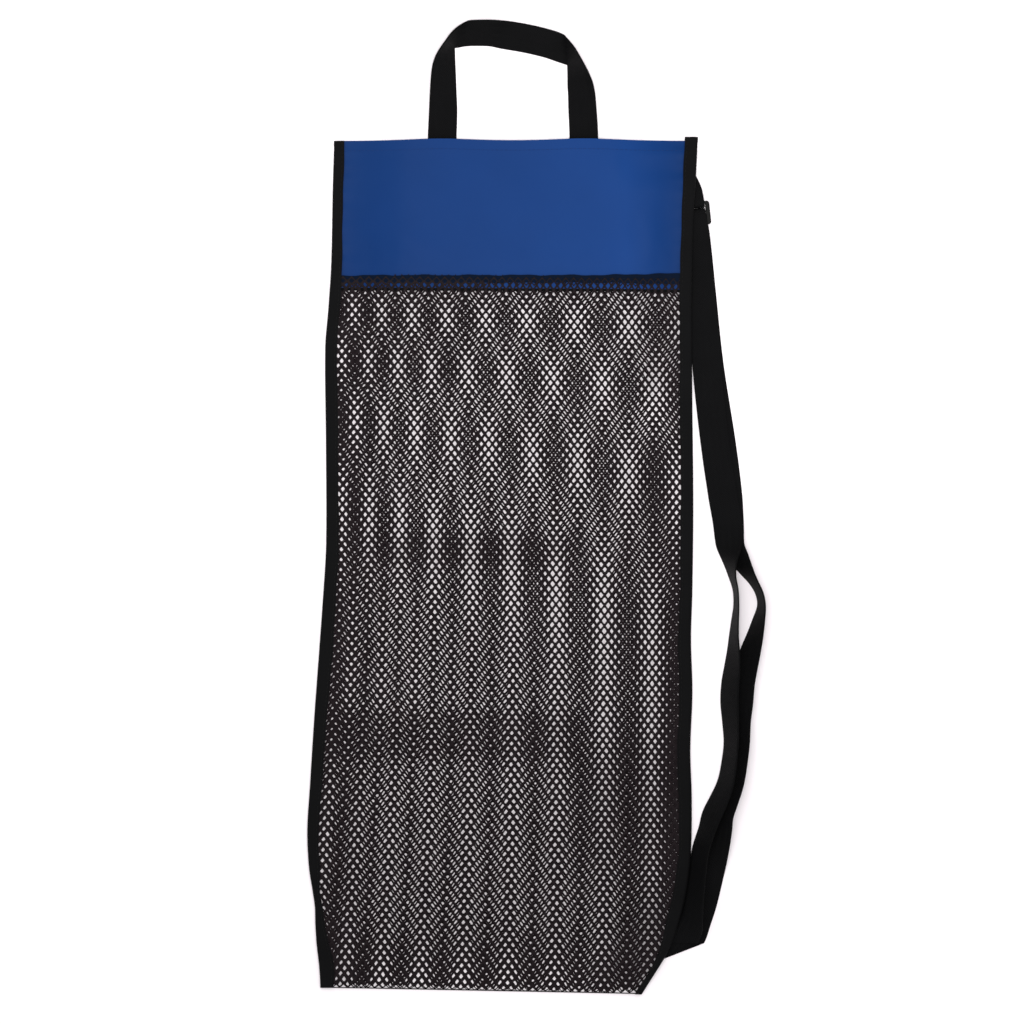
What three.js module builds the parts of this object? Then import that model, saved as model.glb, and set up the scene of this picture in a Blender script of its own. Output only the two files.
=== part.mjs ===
// A flat mesh carry bag lying on its back, built piece by piece as the real one is sewn:
// two nets, a coloured header band on each, side bindings, a webbing handle and an
// adjustable shoulder strap. Millimetres, +Z up, +Y towards the mouth, +X to the strap side.
// The origin is on the surface that the bag lies on, under the middle of the back net.
import * as THREE from "three";

// Driving dimensions
const CLOTH = 1.0; // wall of a net, a header or a binding tape
const GAP = 0.3; // clearance between two layers sewn on each other
const PLY = CLOTH + GAP; // height that one more layer adds
const WEBBING_WIDTH = 25;
const WEBBING = 1.3; // webbing thickness
const WEB_PLY = WEBBING + GAP;

const BOTTOM_Y = -370; // bottom seam at mid width
const BOTTOM_SLANT = 2.8; // the seam is this much higher on the left and lower on the right
const NET_TOP_Y = 252.5; // hem of both nets
const HEADER_BOTTOM_Y = 240.5; // the nets lap over the headers down to here
const HEADER_TOP_Y = 370;
const LEFT_TAPE_TOP_Y = 370;
const RIGHT_TAPE_TOP_Y = 373.4;
const PANEL_INSET = 3.2; // cloth edge inside the binding's fold
const FOLD_DEPTH = 2.2; // how far the binding's fold stands out past its flat plies

const POUCH_HEIGHT = 12; // how far the front stands off the floor when the bag is empty
const MOUTH_HEIGHT = 10.5;
const BOTTOM_RISE = 95; // the front climbs to full height over this length
const SHOULDER = 62; // the front comes down to the bindings over this width
const BACK_SHOULDER = 22;
const RIPPLE = 0.9; // lengthwise waves of the slack front net
const RIPPLE_PITCH = 58;
const HEADER_WAVE = 0.8;
const HEADER_LIFT = 1.6; // the header's top edge rises where the handle pulls it
const HEADER_PULL = 34; // reach of that pull along the edge

// Side outlines of the bag from the bottom up: outer edge of the binding and its visible width
const LEFT_EDGE = [
  { y: -380, out: -163.0, tape: 9.0 },
  { y: -352, out: -164.2, tape: 13.2 },
  { y: -330, out: -166.6, tape: 13.0 },
  { y: -312, out: -167.8, tape: 11.5 },
  { y: -297, out: -168.2, tape: 6.4 },
  { y: -284, out: -170.0, tape: 6.2 },
  { y: -262, out: -173.4, tape: 9.6 },
  { y: -230, out: -174.8, tape: 10.2 },
  { y: -190, out: -172.4, tape: 10.4 },
  { y: -130, out: -168.6, tape: 11.2 },
  { y: -70, out: -164.2, tape: 11.8 },
  { y: -20, out: -160.6, tape: 11.6 },
  { y: 20, out: -158.4, tape: 10.9 },
  { y: 110, out: -158.6, tape: 10.7 },
  { y: 190, out: -159.2, tape: 10.6 },
  { y: 225, out: -156.4, tape: 10.0 },
  { y: 262, out: -154.0, tape: 9.6 },
  { y: 330, out: -152.6, tape: 9.2 },
  { y: 380, out: -151.0, tape: 9.0 },
];
const RIGHT_EDGE = [
  { y: -380, out: 112.0, tape: 6.0 },
  { y: -356, out: 127.0, tape: 6.2 },
  { y: -341, out: 136.2, tape: 7.4 },
  { y: -326, out: 143.4, tape: 9.6 },
  { y: -310, out: 148.8, tape: 11.2 },
  { y: -292, out: 153.8, tape: 11.6 },
  { y: -270, out: 157.6, tape: 11.3 },
  { y: -245, out: 159.6, tape: 11.0 },
  { y: -200, out: 160.0, tape: 11.4 },
  { y: -160, out: 158.8, tape: 11.6 },
  { y: -110, out: 160.6, tape: 11.4 },
  { y: -64, out: 159.4, tape: 11.2 },
  { y: -20, out: 160.6, tape: 11.0 },
  { y: 57, out: 161.4, tape: 11.0 },
  { y: 175, out: 160.2, tape: 10.8 },
  { y: 255, out: 160.2, tape: 10.6 },
  { y: 300, out: 161.4, tape: 10.8 },
  { y: 338, out: 163.6, tape: 11.2 },
  { y: 380, out: 165.6, tape: 11.4 },
];

// Rows that every panel and binding shares, so that layers laid on each other stay parallel
const NET_ROWS = [
  -366, -358, -346, -332, -316, -298, -280, -262, -244, -224, -204, -176, -140, -100, -60, -20, 20,
  60, 100, 130, 152, 174, 196, 214, 228,
];
const HEADER_ROWS = [264, 278, 294, 310, 326, 342, 356];
const ROWS = [BOTTOM_Y, ...NET_ROWS, HEADER_BOTTOM_Y, NET_TOP_Y, ...HEADER_ROWS, HEADER_TOP_Y];
const PANEL_COLUMNS = 15;

// What the right edge rests on: it is lifted over the strap's plies and over the slider
const STRAP_LIFT = 2 * WEB_PLY;
const SLIDER_LIFT = 6.4;
const LIFT_WIDTH = 32; // width beside the right edge that is lifted in full
const LIFT_FADE = 68; // width by which the lift has died away
// Each lift along the edge: where it starts, is full, is full until, and ends
const LIFTS = [
  { height: STRAP_LIFT, start: -372, full: -348, until: -312, end: -268 }, // sewn end of the strap
  { height: STRAP_LIFT, start: 130, full: 174, until: 356, end: 372 }, // strap and tab beside the bag
  { height: SLIDER_LIFT - STRAP_LIFT, start: 238, full: 280, until: 326, end: 350 }, // slider
];

// Handle: centre line of the webbing from its left sewn end to its right one. It lies on the floor
// and stands on its inner edge where it goes round the two upper corners.
// roll is the turn about the centre line that lifts its outer edge and skew slants a section in
// the plan (both in degrees); rest is the height of its lower side above the floor.
const SEWN_REST = CLOTH + GAP;
const HANDLE = [
  { x: -57.4, y: 346.3, roll: 0, skew: 0, rest: SEWN_REST },
  { x: -57.4, y: 360.2, roll: 0, skew: 0, rest: SEWN_REST },
  { x: -57.2, y: 372.4, roll: 0, skew: 0, rest: SEWN_REST },
  { x: -56.3, y: 395.0, roll: 12, skew: 0, rest: 0.2 },
  { x: -55.5, y: 417.6, roll: 26, skew: 0, rest: 0 },
  { x: -54.8, y: 433.3, roll: 39, skew: 0, rest: 0 },
  { x: -52.8, y: 445.4, roll: 58, skew: 0, rest: 0 },
  { x: -49.2, y: 454.6, roll: 70, skew: 0, rest: 0 },
  { x: -42.2, y: 460.4, roll: 58, skew: 0, rest: 0 },
  { x: -32.6, y: 462.8, roll: 36, skew: 0, rest: 0 },
  { x: -20.0, y: 463.4, roll: 28, skew: 0, rest: 0 },
  { x: -4.3, y: 462.2, roll: 18, skew: 0, rest: 0 },
  { x: 14.8, y: 459.2, roll: 5, skew: 0, rest: 0 },
  { x: 33.9, y: 454.4, roll: 6, skew: 0, rest: 0 },
  { x: 46.5, y: 449.1, roll: 30, skew: 0, rest: 0 },
  { x: 55.2, y: 443.3, roll: 57, skew: 0, rest: 0 },
  { x: 60.7, y: 435.0, roll: 60, skew: 0, rest: 0 },
  { x: 63.2, y: 424.6, roll: 42, skew: 0, rest: 0 },
  { x: 64.4, y: 412.4, roll: 18, skew: 0, rest: 0 },
  { x: 65.2, y: 395.0, roll: 4, skew: 0, rest: 0.2 },
  { x: 66.1, y: 372.4, roll: 0, skew: 0, rest: SEWN_REST },
  { x: 66.1, y: 360.2, roll: 0, skew: 0, rest: SEWN_REST },
  { x: 66.1, y: 346.3, roll: 0, skew: 0, rest: SEWN_REST },
];
const HANDLE_STEPS = 72;

// Slider: a moulded frame with three bars, held by the tab and threaded by the strap
const SLIDER = { x: 159.4, y: 306.2, turn: THREE.MathUtils.degToRad(6) };
const SLIDER_SLOT = { width: 27, height: 6.4 };
const SLIDER_BAR = 2.6;
const SLIDER_RAIL = 3.2;
const SLIDER_BEVEL = 0.8;
const TURN_RADIUS = 2.4; // of the webbing's middle round a bar
const TURN_STEPS = 7;
const SLIDER_Z = WEBBING / 2 + TURN_RADIUS; // middle of the bars

// Tab: short doubled webbing from under the right binding to the slider's upper bar
const TAB_PATH = [
  { along: 0, x: 0 },
  { along: 10, x: -0.8 },
  { along: 18, x: -3.4 },
  { along: 26, x: -6.8 },
];

// Shoulder strap: centre line of each ply from the slider down to the bottom corner, with the
// same columns. Here roll lifts the strap's right edge.
const OVER_BAR = SLIDER_Z + TURN_RADIUS - WEBBING / 2;
const FRONT_PLY = [
  { x: 162.5, y: 291.4, roll: 0, skew: 0, rest: OVER_BAR },
  { x: 164.3, y: 274.1, roll: 0, skew: 0, rest: 3.4 },
  { x: 166.6, y: 251.4, roll: 0, skew: 0, rest: WEB_PLY },
  { x: 169.9, y: 214.0, roll: 0, skew: 0, rest: WEB_PLY },
  { x: 174.3, y: 160.1, roll: 0, skew: 0, rest: WEB_PLY },
  { x: 180.1, y: 107.9, roll: 0, skew: 0, rest: WEB_PLY },
  { x: 186.6, y: 62.6, roll: 0, skew: 0, rest: WEB_PLY },
  { x: 190.7, y: 38.3, roll: 8, skew: 0, rest: WEB_PLY },
  { x: 192.1, y: 18.3, roll: 28, skew: 0, rest: WEB_PLY },
  { x: 192.8, y: 5.2, roll: 60, skew: 0, rest: 1.2 },
  { x: 194.7, y: -7.8, roll: 77, skew: 0, rest: 0.4 },
  { x: 197.8, y: -20.9, roll: 82, skew: 0, rest: 0 },
  { x: 198.4, y: -34.8, roll: 82, skew: 0, rest: 0 },
  { x: 197.3, y: -47.9, roll: 78, skew: 0, rest: 0 },
  { x: 196.3, y: -61.8, roll: 73, skew: 0, rest: 0.3 },
  { x: 195.9, y: -74.8, roll: 66, skew: 0, rest: 1.0 },
  { x: 194.7, y: -88.7, roll: 59, skew: 0, rest: 2.0 },
  { x: 193.0, y: -102.7, roll: 55, skew: 0, rest: 2.2 },
  { x: 192.4, y: -118.3, roll: 54, skew: 0, rest: 2.2 },
  { x: 193.3, y: -135.7, roll: 58, skew: 0, rest: 2.2 },
  { x: 193.8, y: -154.9, roll: 62, skew: 0, rest: 2.2 },
  { x: 191.2, y: -177.5, roll: 60, skew: 0, rest: 2.2 },
  { x: 188.4, y: -190.5, roll: 57, skew: 0, rest: 2.2 },
  { x: 183.2, y: -203.6, roll: 52, skew: 0, rest: 2.0 },
  { x: 177.1, y: -216.6, roll: 50, skew: 0, rest: 1.2 },
  { x: 172.8, y: -229.7, roll: 56, skew: 0, rest: 0.4 },
  { x: 167.4, y: -247.1, roll: 61, skew: 0, rest: 0 },
  { x: 165.0, y: -266.2, roll: 61, skew: 0, rest: 0 },
  { x: 161.9, y: -290.6, roll: 58, skew: 0, rest: 1.7 },
  { x: 159.6, y: -307.1, roll: 44, skew: 0, rest: 2.1 },
  { x: 156.2, y: -318.4, roll: 15, skew: 10, rest: 1.8 },
  { x: 150.5, y: -328.0, roll: 0, skew: 30, rest: WEB_PLY },
];
const BACK_PLY = [
  { x: 162.7, y: 291.4, roll: 0, skew: 0, rest: 0 },
  { x: 165.3, y: 270.6, roll: 0, skew: 0, rest: 0 },
  { x: 168.8, y: 235.8, roll: 0, skew: 0, rest: 0 },
  { x: 175.3, y: 174.9, roll: 0, skew: 0, rest: 0 },
  { x: 185.7, y: 107.9, roll: 0, skew: 0, rest: 0 },
  { x: 191.4, y: 62.6, roll: 0, skew: 0, rest: 0 },
  { x: 192.8, y: 38.3, roll: 7, skew: 0, rest: 0 },
  { x: 194.4, y: 18.3, roll: 27, skew: 0, rest: 0 },
  { x: 201.8, y: 5.2, roll: 50, skew: 0, rest: 0 },
  { x: 208.5, y: -6.1, roll: 66, skew: 0, rest: 0 },
  { x: 214.0, y: -14.8, roll: 75, skew: 0, rest: 0 },
  { x: 218.7, y: -24.4, roll: 77, skew: 0, rest: 0 },
  { x: 220.3, y: -34.8, roll: 76, skew: 0, rest: 0 },
  { x: 217.8, y: -47.9, roll: 67, skew: 0, rest: 0 },
  { x: 214.4, y: -61.8, roll: 57, skew: 0, rest: 0 },
  { x: 210.7, y: -74.8, roll: 47, skew: 0, rest: 0 },
  { x: 207.3, y: -88.7, roll: 42, skew: 0, rest: 0 },
  { x: 204.4, y: -102.7, roll: 38, skew: 0, rest: 0 },
  { x: 202.7, y: -118.3, roll: 35, skew: 0, rest: 0 },
  { x: 200.4, y: -135.7, roll: 33, skew: 0, rest: 0 },
  { x: 200.9, y: -154.9, roll: 45, skew: 0, rest: 0 },
  { x: 198.6, y: -177.5, roll: 49, skew: 0, rest: 0 },
  { x: 196.5, y: -190.5, roll: 52, skew: 0, rest: 0 },
  { x: 192.3, y: -203.6, roll: 52, skew: 0, rest: 0 },
  { x: 187.3, y: -216.6, roll: 47, skew: 0, rest: 0 },
  { x: 184.4, y: -229.7, roll: 35, skew: 0, rest: 0 },
  { x: 180.3, y: -247.1, roll: 18, skew: 0, rest: 0 },
  { x: 175.6, y: -268.0, roll: 0, skew: 0, rest: 0 },
  { x: 169.8, y: -292.3, roll: 0, skew: 0, rest: 0 },
  { x: 164.8, y: -308.0, roll: 0, skew: 0, rest: 0 },
  { x: 159.7, y: -321.0, roll: 0, skew: 16, rest: 0 },
  { x: 153.8, y: -331.5, roll: 0, skew: 42, rest: 0 },
];
const STRAP_STEPS = 60; // along each ply

const COLOURS = { net: 0x17141a, header: 0x21438c, tape: 0x19191b, webbing: 0x1a1a1c, plastic: 0x141416 };

// Helpers

const mix = THREE.MathUtils.lerp;
const ramp = THREE.MathUtils.smoothstep;

// A smooth function through the values at the given places.
function smooth(places, values) {
  const curve = new THREE.CubicInterpolant(places, values, 1, new Float64Array(1));
  return (place) => curve.evaluate(place)[0];
}

// A table's column as a smooth function of y.
function column(table, key) {
  return smooth(
    table.map((row) => row.y),
    table.map((row) => row[key]),
  );
}

// A closed cloth wall: rows of middle points, thickened by half each way along their normals.
function clothWall(rows, thickness) {
  const count = rows.length;
  const across = rows[0].length;
  const faces = [[], []];
  rows.forEach((row, i) =>
    row.forEach((point, j) => {
      const before = rows[Math.max(i - 1, 0)][j];
      const after = rows[Math.min(i + 1, count - 1)][j];
      const sideways = row[Math.min(j + 1, across - 1)].clone().sub(row[Math.max(j - 1, 0)]);
      const normal = sideways.cross(after.clone().sub(before)).normalize();
      faces[0].push(point.clone().addScaledVector(normal, thickness / 2));
      faces[1].push(point.clone().addScaledVector(normal, -thickness / 2));
    }),
  );
  const top = (i, j) => i * across + j;
  const under = (i, j) => count * across + top(i, j);
  const index = [];
  const quad = (a, b, c, d) => index.push(a, b, c, a, c, d);
  for (let i = 0; i + 1 < count; i++) {
    for (let j = 0; j + 1 < across; j++) {
      quad(top(i, j), top(i, j + 1), top(i + 1, j + 1), top(i + 1, j));
      quad(under(i, j), under(i + 1, j), under(i + 1, j + 1), under(i, j + 1));
    }
    quad(top(i, 0), top(i + 1, 0), under(i + 1, 0), under(i, 0));
    quad(top(i, across - 1), under(i, across - 1), under(i + 1, across - 1), top(i + 1, across - 1));
  }
  for (let j = 0; j + 1 < across; j++) {
    quad(top(0, j), under(0, j), under(0, j + 1), top(0, j + 1));
    quad(top(count - 1, j), top(count - 1, j + 1), under(count - 1, j + 1), under(count - 1, j));
  }
  const geometry = new THREE.BufferGeometry().setFromPoints([...faces[0], ...faces[1]]);
  geometry.setIndex(index);
  return geometry;
}

function piece(name, geometry, colour, roughness = 0.8) {
  const material = new THREE.MeshStandardMaterial({ color: colour, roughness, metalness: 0 });
  const mesh = new THREE.Mesh(geometry, material);
  mesh.name = name;
  return mesh;
}

// The bag's shape

const leftOut = column(LEFT_EDGE, "out");
const leftTape = column(LEFT_EDGE, "tape");
const rightOut = column(RIGHT_EDGE, "out");
const rightTape = column(RIGHT_EDGE, "tape");

// Height of a row at share u of the width: the lowest rows lean with the bottom seam.
function rowY(row, u) {
  return row + mix(BOTTOM_SLANT, -BOTTOM_SLANT, u) * (1 - ramp(row, BOTTOM_Y, BOTTOM_Y + 120));
}

// 1 where a net laps over its header, 0 elsewhere.
function lap(y) {
  return ramp(y, HEADER_BOTTOM_Y - 26, HEADER_BOTTOM_Y) * (1 - ramp(y, NET_TOP_Y, NET_TOP_Y + 26));
}

// How far the strap and the slider hold the right edge off the floor.
function rightLift(y) {
  const share = (row) => ramp(y, row.start, row.full) * (1 - ramp(y, row.until, row.end));
  return LIFTS.reduce((sum, row) => sum + row.height * share(row), 0);
}

function liftAt(x, y) {
  return rightLift(y) * (1 - ramp(rightOut(y) - x, LIFT_WIDTH, LIFT_FADE));
}

// 1 inside the bindings, falling to 0 over the shoulder's width.
function edgeShare(x, y, shoulder) {
  const fromLeft = x - (leftOut(y) + leftTape(y));
  const fromRight = rightOut(y) - rightTape(y) - x;
  return 1 - ramp(Math.min(fromLeft, fromRight), 1.5, shoulder);
}

// How far the middle of the front stands above the floor.
function pouch(y) {
  const rise = ramp(y - BOTTOM_Y, 6, BOTTOM_RISE);
  const height = mix(POUCH_HEIGHT, MOUTH_HEIGHT, ramp(y, HEADER_BOTTOM_Y, HEADER_TOP_Y));
  return mix(PLY, height, rise);
}

function ripple(x, y) {
  const calm = ramp(y - BOTTOM_Y, 20, 140) * (1 - ramp(y, 180, HEADER_BOTTOM_Y - 26));
  return RIPPLE * calm * Math.sin((2 * Math.PI * x) / RIPPLE_PITCH + y / 90);
}

function headerWave(x, y) {
  return HEADER_WAVE * ramp(y, HEADER_BOTTOM_Y + 20, HEADER_TOP_Y) * Math.sin(x / 34 + y / 60);
}

// Underside of each panel at a point of the plan.
function frontHeaderZ(x, y) {
  const edge = edgeShare(x, y, SHOULDER);
  return mix(pouch(y) + headerWave(x, y), PLY * (2 + lap(y)), edge) + liftAt(x, y);
}

function frontNetZ(x, y) {
  const edge = edgeShare(x, y, SHOULDER);
  const middle = pouch(y) + PLY * lap(y) + headerWave(x, y) + ripple(x, y);
  return mix(middle, PLY * (2 + 2 * lap(y)), edge) + liftAt(x, y);
}

function backHeaderZ(x, y) {
  return PLY * lap(y) + PLY * edgeShare(x, y, BACK_SHOULDER) + liftAt(x, y);
}

function backNetZ(x, y) {
  return PLY * edgeShare(x, y, BACK_SHOULDER) + liftAt(x, y);
}

// The header's top edge is drawn up a little where each handle leg is sewn.
function headerRise(x, y) {
  const near = (leg) => Math.exp(-(((x - leg.x) / HEADER_PULL) ** 2));
  const legs = near(HANDLE[0]) + near(HANDLE[HANDLE.length - 1]);
  return HEADER_LIFT * legs * ramp(y, HEADER_TOP_Y - 40, HEADER_TOP_Y);
}

// A panel between two rows, its columns closer together near the bindings.
function panel(fromY, toY, under, rise = () => 0) {
  const rows = ROWS.filter((row) => row >= fromY && row <= toY);
  return clothWall(
    rows.map((row) =>
      Array.from({ length: PANEL_COLUMNS + 1 }, (_, j) => {
        const u = 0.5 - 0.5 * Math.cos((Math.PI * j) / PANEL_COLUMNS);
        const y = rowY(row, u);
        const x = mix(leftOut(y) + PANEL_INSET, rightOut(y) - PANEL_INSET, u);
        return new THREE.Vector3(x, y + rise(x, y), under(x, y) + CLOTH / 2);
      }),
    ),
    CLOTH,
  );
}

// A binding tape folded round one side: under ply, fold, upper ply.
function binding(side, outAt, tapeAt, topY) {
  const u = side < 0 ? 0 : 1;
  const foldAngles = [-60, -30, 0, 30, 60].map(THREE.MathUtils.degToRad);
  const rows = ROWS.filter((row) => row < topY).concat(topY);
  return clothWall(
    rows.map((row) => {
      const y = rowY(row, u);
      const lift = side < 0 ? 0 : rightLift(y);
      const low = CLOTH / 2 + lift;
      const high = low + PLY * (3 + 2 * lap(y));
      const inner = outAt(y) - side * tapeAt(y);
      const outer = outAt(y) - side * (CLOTH / 2 + FOLD_DEPTH);
      const middle = (low + high) / 2;
      const section = [
        [inner, low],
        [outer, low],
        ...foldAngles.map((a) => [
          outer + side * FOLD_DEPTH * Math.cos(a),
          middle + ((high - low) / 2) * Math.sin(a),
        ]),
        [outer, high],
        [inner, high],
      ];
      if (side > 0) section.reverse();
      return section.map(([x, z]) => new THREE.Vector3(x, y, z));
    }),
    CLOTH,
  );
}

// Webbing

// Sections of a webbing strip laid along a table of stations: its edge on the right of the run
// and its edge on the left, which the roll lifts.
function stripSections(stations, steps) {
  const path = new THREE.CatmullRomCurve3(
    stations.map((row) => new THREE.Vector3(row.x, row.y, 0)),
    false,
    "centripetal",
  );
  const last = stations.length - 1;
  const numbers = stations.map((_, i) => i);
  const along = (key) => {
    const curve = smooth(numbers, stations.map((row) => row[key]));
    return (t) => Math.max(curve(t * last), 0);
  };
  const rollAt = along("roll");
  const skewAt = along("skew");
  const restAt = along("rest");
  return Array.from({ length: steps + 1 }, (_, i) => {
    const t = path.getUtoTmapping(i / steps);
    const roll = THREE.MathUtils.degToRad(rollAt(t));
    const skew = THREE.MathUtils.degToRad(skewAt(t));
    const heading = path.getTangent(t);
    const across = Math.atan2(heading.x, -heading.y) + skew;
    const middle = path.getPoint(t);
    middle.z = restAt(t) + (WEBBING_WIDTH * Math.sin(roll) + WEBBING * Math.cos(roll)) / 2;
    const flat = Math.cos(roll) / Math.cos(skew);
    const sideways = new THREE.Vector3(flat * Math.cos(across), flat * Math.sin(across), Math.sin(roll));
    return sectionAt(middle, sideways);
  });
}

function sectionAt(point, sideways) {
  return [-1, 1].map((sign) => point.clone().addScaledVector(sideways, (sign * WEBBING_WIDTH) / 2));
}

// Half a turn of webbing round one bar of the slider, in the slider's own frame.
function barTurn(barY, side) {
  return Array.from({ length: TURN_STEPS + 1 }, (_, i) => {
    const angle = (Math.PI * i) / TURN_STEPS;
    const y = barY + side * TURN_RADIUS * Math.sin(angle);
    return new THREE.Vector3(0, y, SLIDER_Z - TURN_RADIUS * Math.cos(angle));
  });
}

function inSliderFrame(local) {
  return local
    .clone()
    .applyAxisAngle(new THREE.Vector3(0, 0, 1), SLIDER.turn)
    .add(new THREE.Vector3(SLIDER.x, SLIDER.y, 0));
}

const SLIDER_PITCH = SLIDER_BAR + SLIDER_SLOT.height; // bar to bar
const sliderSideways = new THREE.Vector3(Math.cos(SLIDER.turn), Math.sin(SLIDER.turn), 0);

// The handle lies with its right edge first, so its sections are turned to face up.
function handle() {
  const sections = stripSections(HANDLE, HANDLE_STEPS).map((section) => section.reverse());
  return clothWall(sections, WEBBING);
}

// One ply of the strap from the slider to its sewn end, without its first section.
function strapPly(from, table) {
  const start = { x: from.x, y: from.y, roll: 0, skew: 0, rest: from.z - WEBBING / 2 };
  return stripSections([start, ...table], STRAP_STEPS).slice(1);
}

// The front ply with its half turn round the slider's middle bar.
function strapFront() {
  const turn = barTurn(0, 1).map(inSliderFrame);
  const around = turn.map((point) => sectionAt(point, sliderSideways));
  return clothWall([...around, ...strapPly(turn[turn.length - 1], FRONT_PLY)], WEBBING);
}

// The back ply, from its sewn end to where that turn starts under the bar.
function strapBack() {
  const start = barTurn(0, 1)[0];
  start.y -= GAP;
  const top = inSliderFrame(start);
  return clothWall([...strapPly(top, BACK_PLY).reverse(), sectionAt(top, sliderSideways)], WEBBING);
}

// The tab's sections in the slider's own frame: under ply, turn round the upper bar, upper ply.
function strapTab() {
  const last = TAB_PATH.length - 1;
  const ply = (heightAt) =>
    TAB_PATH.slice(1).map((row, i) => {
      const before = TAB_PATH[i];
      const after = TAB_PATH[Math.min(i + 2, last)];
      const lean = Math.atan2(after.x - before.x, after.along - before.along);
      const point = new THREE.Vector3(row.x, SLIDER_PITCH + row.along, heightAt(row.along));
      return sectionAt(point, new THREE.Vector3(Math.cos(lean), -Math.sin(lean), 0));
    });
  const lower = ply(() => WEBBING / 2).reverse();
  const around = barTurn(SLIDER_PITCH, -1).map((point) => sectionAt(point, new THREE.Vector3(1, 0, 0)));
  const upper = ply((along) => {
    const settled = ramp(along, 0, TAB_PATH[last].along);
    return mix(SLIDER_Z + TURN_RADIUS, WEB_PLY + WEBBING / 2, settled);
  });
  const sections = [...lower, ...around, ...upper].map((row) => row.map(inSliderFrame).reverse());
  return clothWall(sections, WEBBING);
}

// The slider's frame, cut by two slots, with all its corners eased.
function slider() {
  const halfWidth = SLIDER_SLOT.width / 2 + SLIDER_RAIL;
  const halfHeight = SLIDER_PITCH + SLIDER_BAR / 2;
  const rectangle = (path, x, y, w, h) => {
    path.moveTo(x - w, y - h).lineTo(x + w, y - h).lineTo(x + w, y + h).lineTo(x - w, y + h);
    return path.closePath();
  };
  const frame = rectangle(new THREE.Shape(), 0, 0, halfWidth - SLIDER_BEVEL, halfHeight - SLIDER_BEVEL);
  for (const slotY of [-SLIDER_PITCH / 2, SLIDER_PITCH / 2]) {
    const slot = { w: SLIDER_SLOT.width / 2 + SLIDER_BEVEL, h: SLIDER_SLOT.height / 2 + SLIDER_BEVEL };
    frame.holes.push(rectangle(new THREE.Path(), 0, slotY, slot.w, slot.h));
  }
  const geometry = new THREE.ExtrudeGeometry(frame, {
    depth: SLIDER_BAR - 2 * SLIDER_BEVEL,
    bevelEnabled: true,
    bevelSize: SLIDER_BEVEL,
    bevelThickness: SLIDER_BEVEL,
    bevelSegments: 2,
  });
  geometry.translate(0, 0, SLIDER_BEVEL - SLIDER_BAR / 2);
  const mesh = piece("slider", geometry, COLOURS.plastic, 0.45);
  mesh.position.set(SLIDER.x, SLIDER.y, SLIDER_Z);
  mesh.rotation.z = SLIDER.turn;
  return mesh;
}

const backHeader = panel(HEADER_BOTTOM_Y, HEADER_TOP_Y, backHeaderZ);
const frontHeader = panel(HEADER_BOTTOM_Y, HEADER_TOP_Y, frontHeaderZ, headerRise);

const bag = new THREE.Group();
bag.add(
  piece("back_net", panel(BOTTOM_Y, NET_TOP_Y, backNetZ), COLOURS.net),
  piece("front_net", panel(BOTTOM_Y, NET_TOP_Y, frontNetZ), COLOURS.net),
  piece("back_header", backHeader, COLOURS.header, 0.5),
  piece("front_header", frontHeader, COLOURS.header, 0.5),
  piece("left_binding", binding(-1, leftOut, leftTape, LEFT_TAPE_TOP_Y), COLOURS.tape),
  piece("right_binding", binding(1, rightOut, rightTape, RIGHT_TAPE_TOP_Y), COLOURS.tape),
  piece("handle", handle(), COLOURS.webbing),
  piece("strap_tab", strapTab(), COLOURS.webbing),
  slider(),
  piece("strap_front", strapFront(), COLOURS.webbing),
  piece("strap_back", strapBack(), COLOURS.webbing),
);

export default bag;
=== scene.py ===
"""The visible pieces of a flat mesh carry bag lying on its back, built over its CAD solids.

Shapes are worked out in millimetres: +X to the strap side, +Y towards the mouth, +Z up."""
import math

import bpy
import numpy as np
from mathutils import Matrix, Vector


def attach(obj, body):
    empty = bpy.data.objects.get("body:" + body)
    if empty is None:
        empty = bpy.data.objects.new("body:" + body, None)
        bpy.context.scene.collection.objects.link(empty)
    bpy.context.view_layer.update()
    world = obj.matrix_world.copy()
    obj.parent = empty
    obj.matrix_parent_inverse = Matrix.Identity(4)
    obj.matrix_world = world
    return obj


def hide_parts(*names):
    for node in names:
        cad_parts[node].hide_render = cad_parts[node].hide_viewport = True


bl_info = {
    "name": "Mesh Carry Bag",
    "version": (1, 0, 0),
    "blender": (4, 5, 0),
    "location": "3D View > Sidebar > Bag",
    "description": "Builds the nets, headers, bindings, webbing and slider of a mesh carry bag",
    "category": "Object",
}

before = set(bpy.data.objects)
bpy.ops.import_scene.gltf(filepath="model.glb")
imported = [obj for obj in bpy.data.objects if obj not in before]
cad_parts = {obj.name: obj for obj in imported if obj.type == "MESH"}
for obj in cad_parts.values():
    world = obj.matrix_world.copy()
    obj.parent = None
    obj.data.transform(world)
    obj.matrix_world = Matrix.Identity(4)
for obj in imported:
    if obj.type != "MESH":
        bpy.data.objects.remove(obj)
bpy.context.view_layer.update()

MM = 0.001

# Sizes that the pieces share with the CAD solids
CLOTH = 1.0
GAP = 0.3
PLY = CLOTH + GAP
WEB_PLY = 1.6
BOTTOM_Y = -370.0
BOTTOM_SLANT = 2.8
NET_TOP_Y = 252.5
HEADER_BOTTOM_Y = 240.5
HEADER_TOP_Y = 370.0
LEFT_TAPE_TOP_Y = 370.0
RIGHT_TAPE_TOP_Y = 373.4
PANEL_INSET = 3.2
FOLD_DEPTH = 2.2
POUCH_HEIGHT = 12.0
MOUTH_HEIGHT = 10.5
BOTTOM_RISE = 95.0
SHOULDER = 62.0
BACK_SHOULDER = 22.0
RIPPLE = 0.9
RIPPLE_PITCH = 58.0
HEADER_WAVE = 0.8
HEADER_LIFT = 1.6
HEADER_PULL = 34.0
FOOT_RISE = 1.7
LAP_SOFT = 26.0
LIFT_WIDTH = 32.0
LIFT_FADE = 68.0

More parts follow.
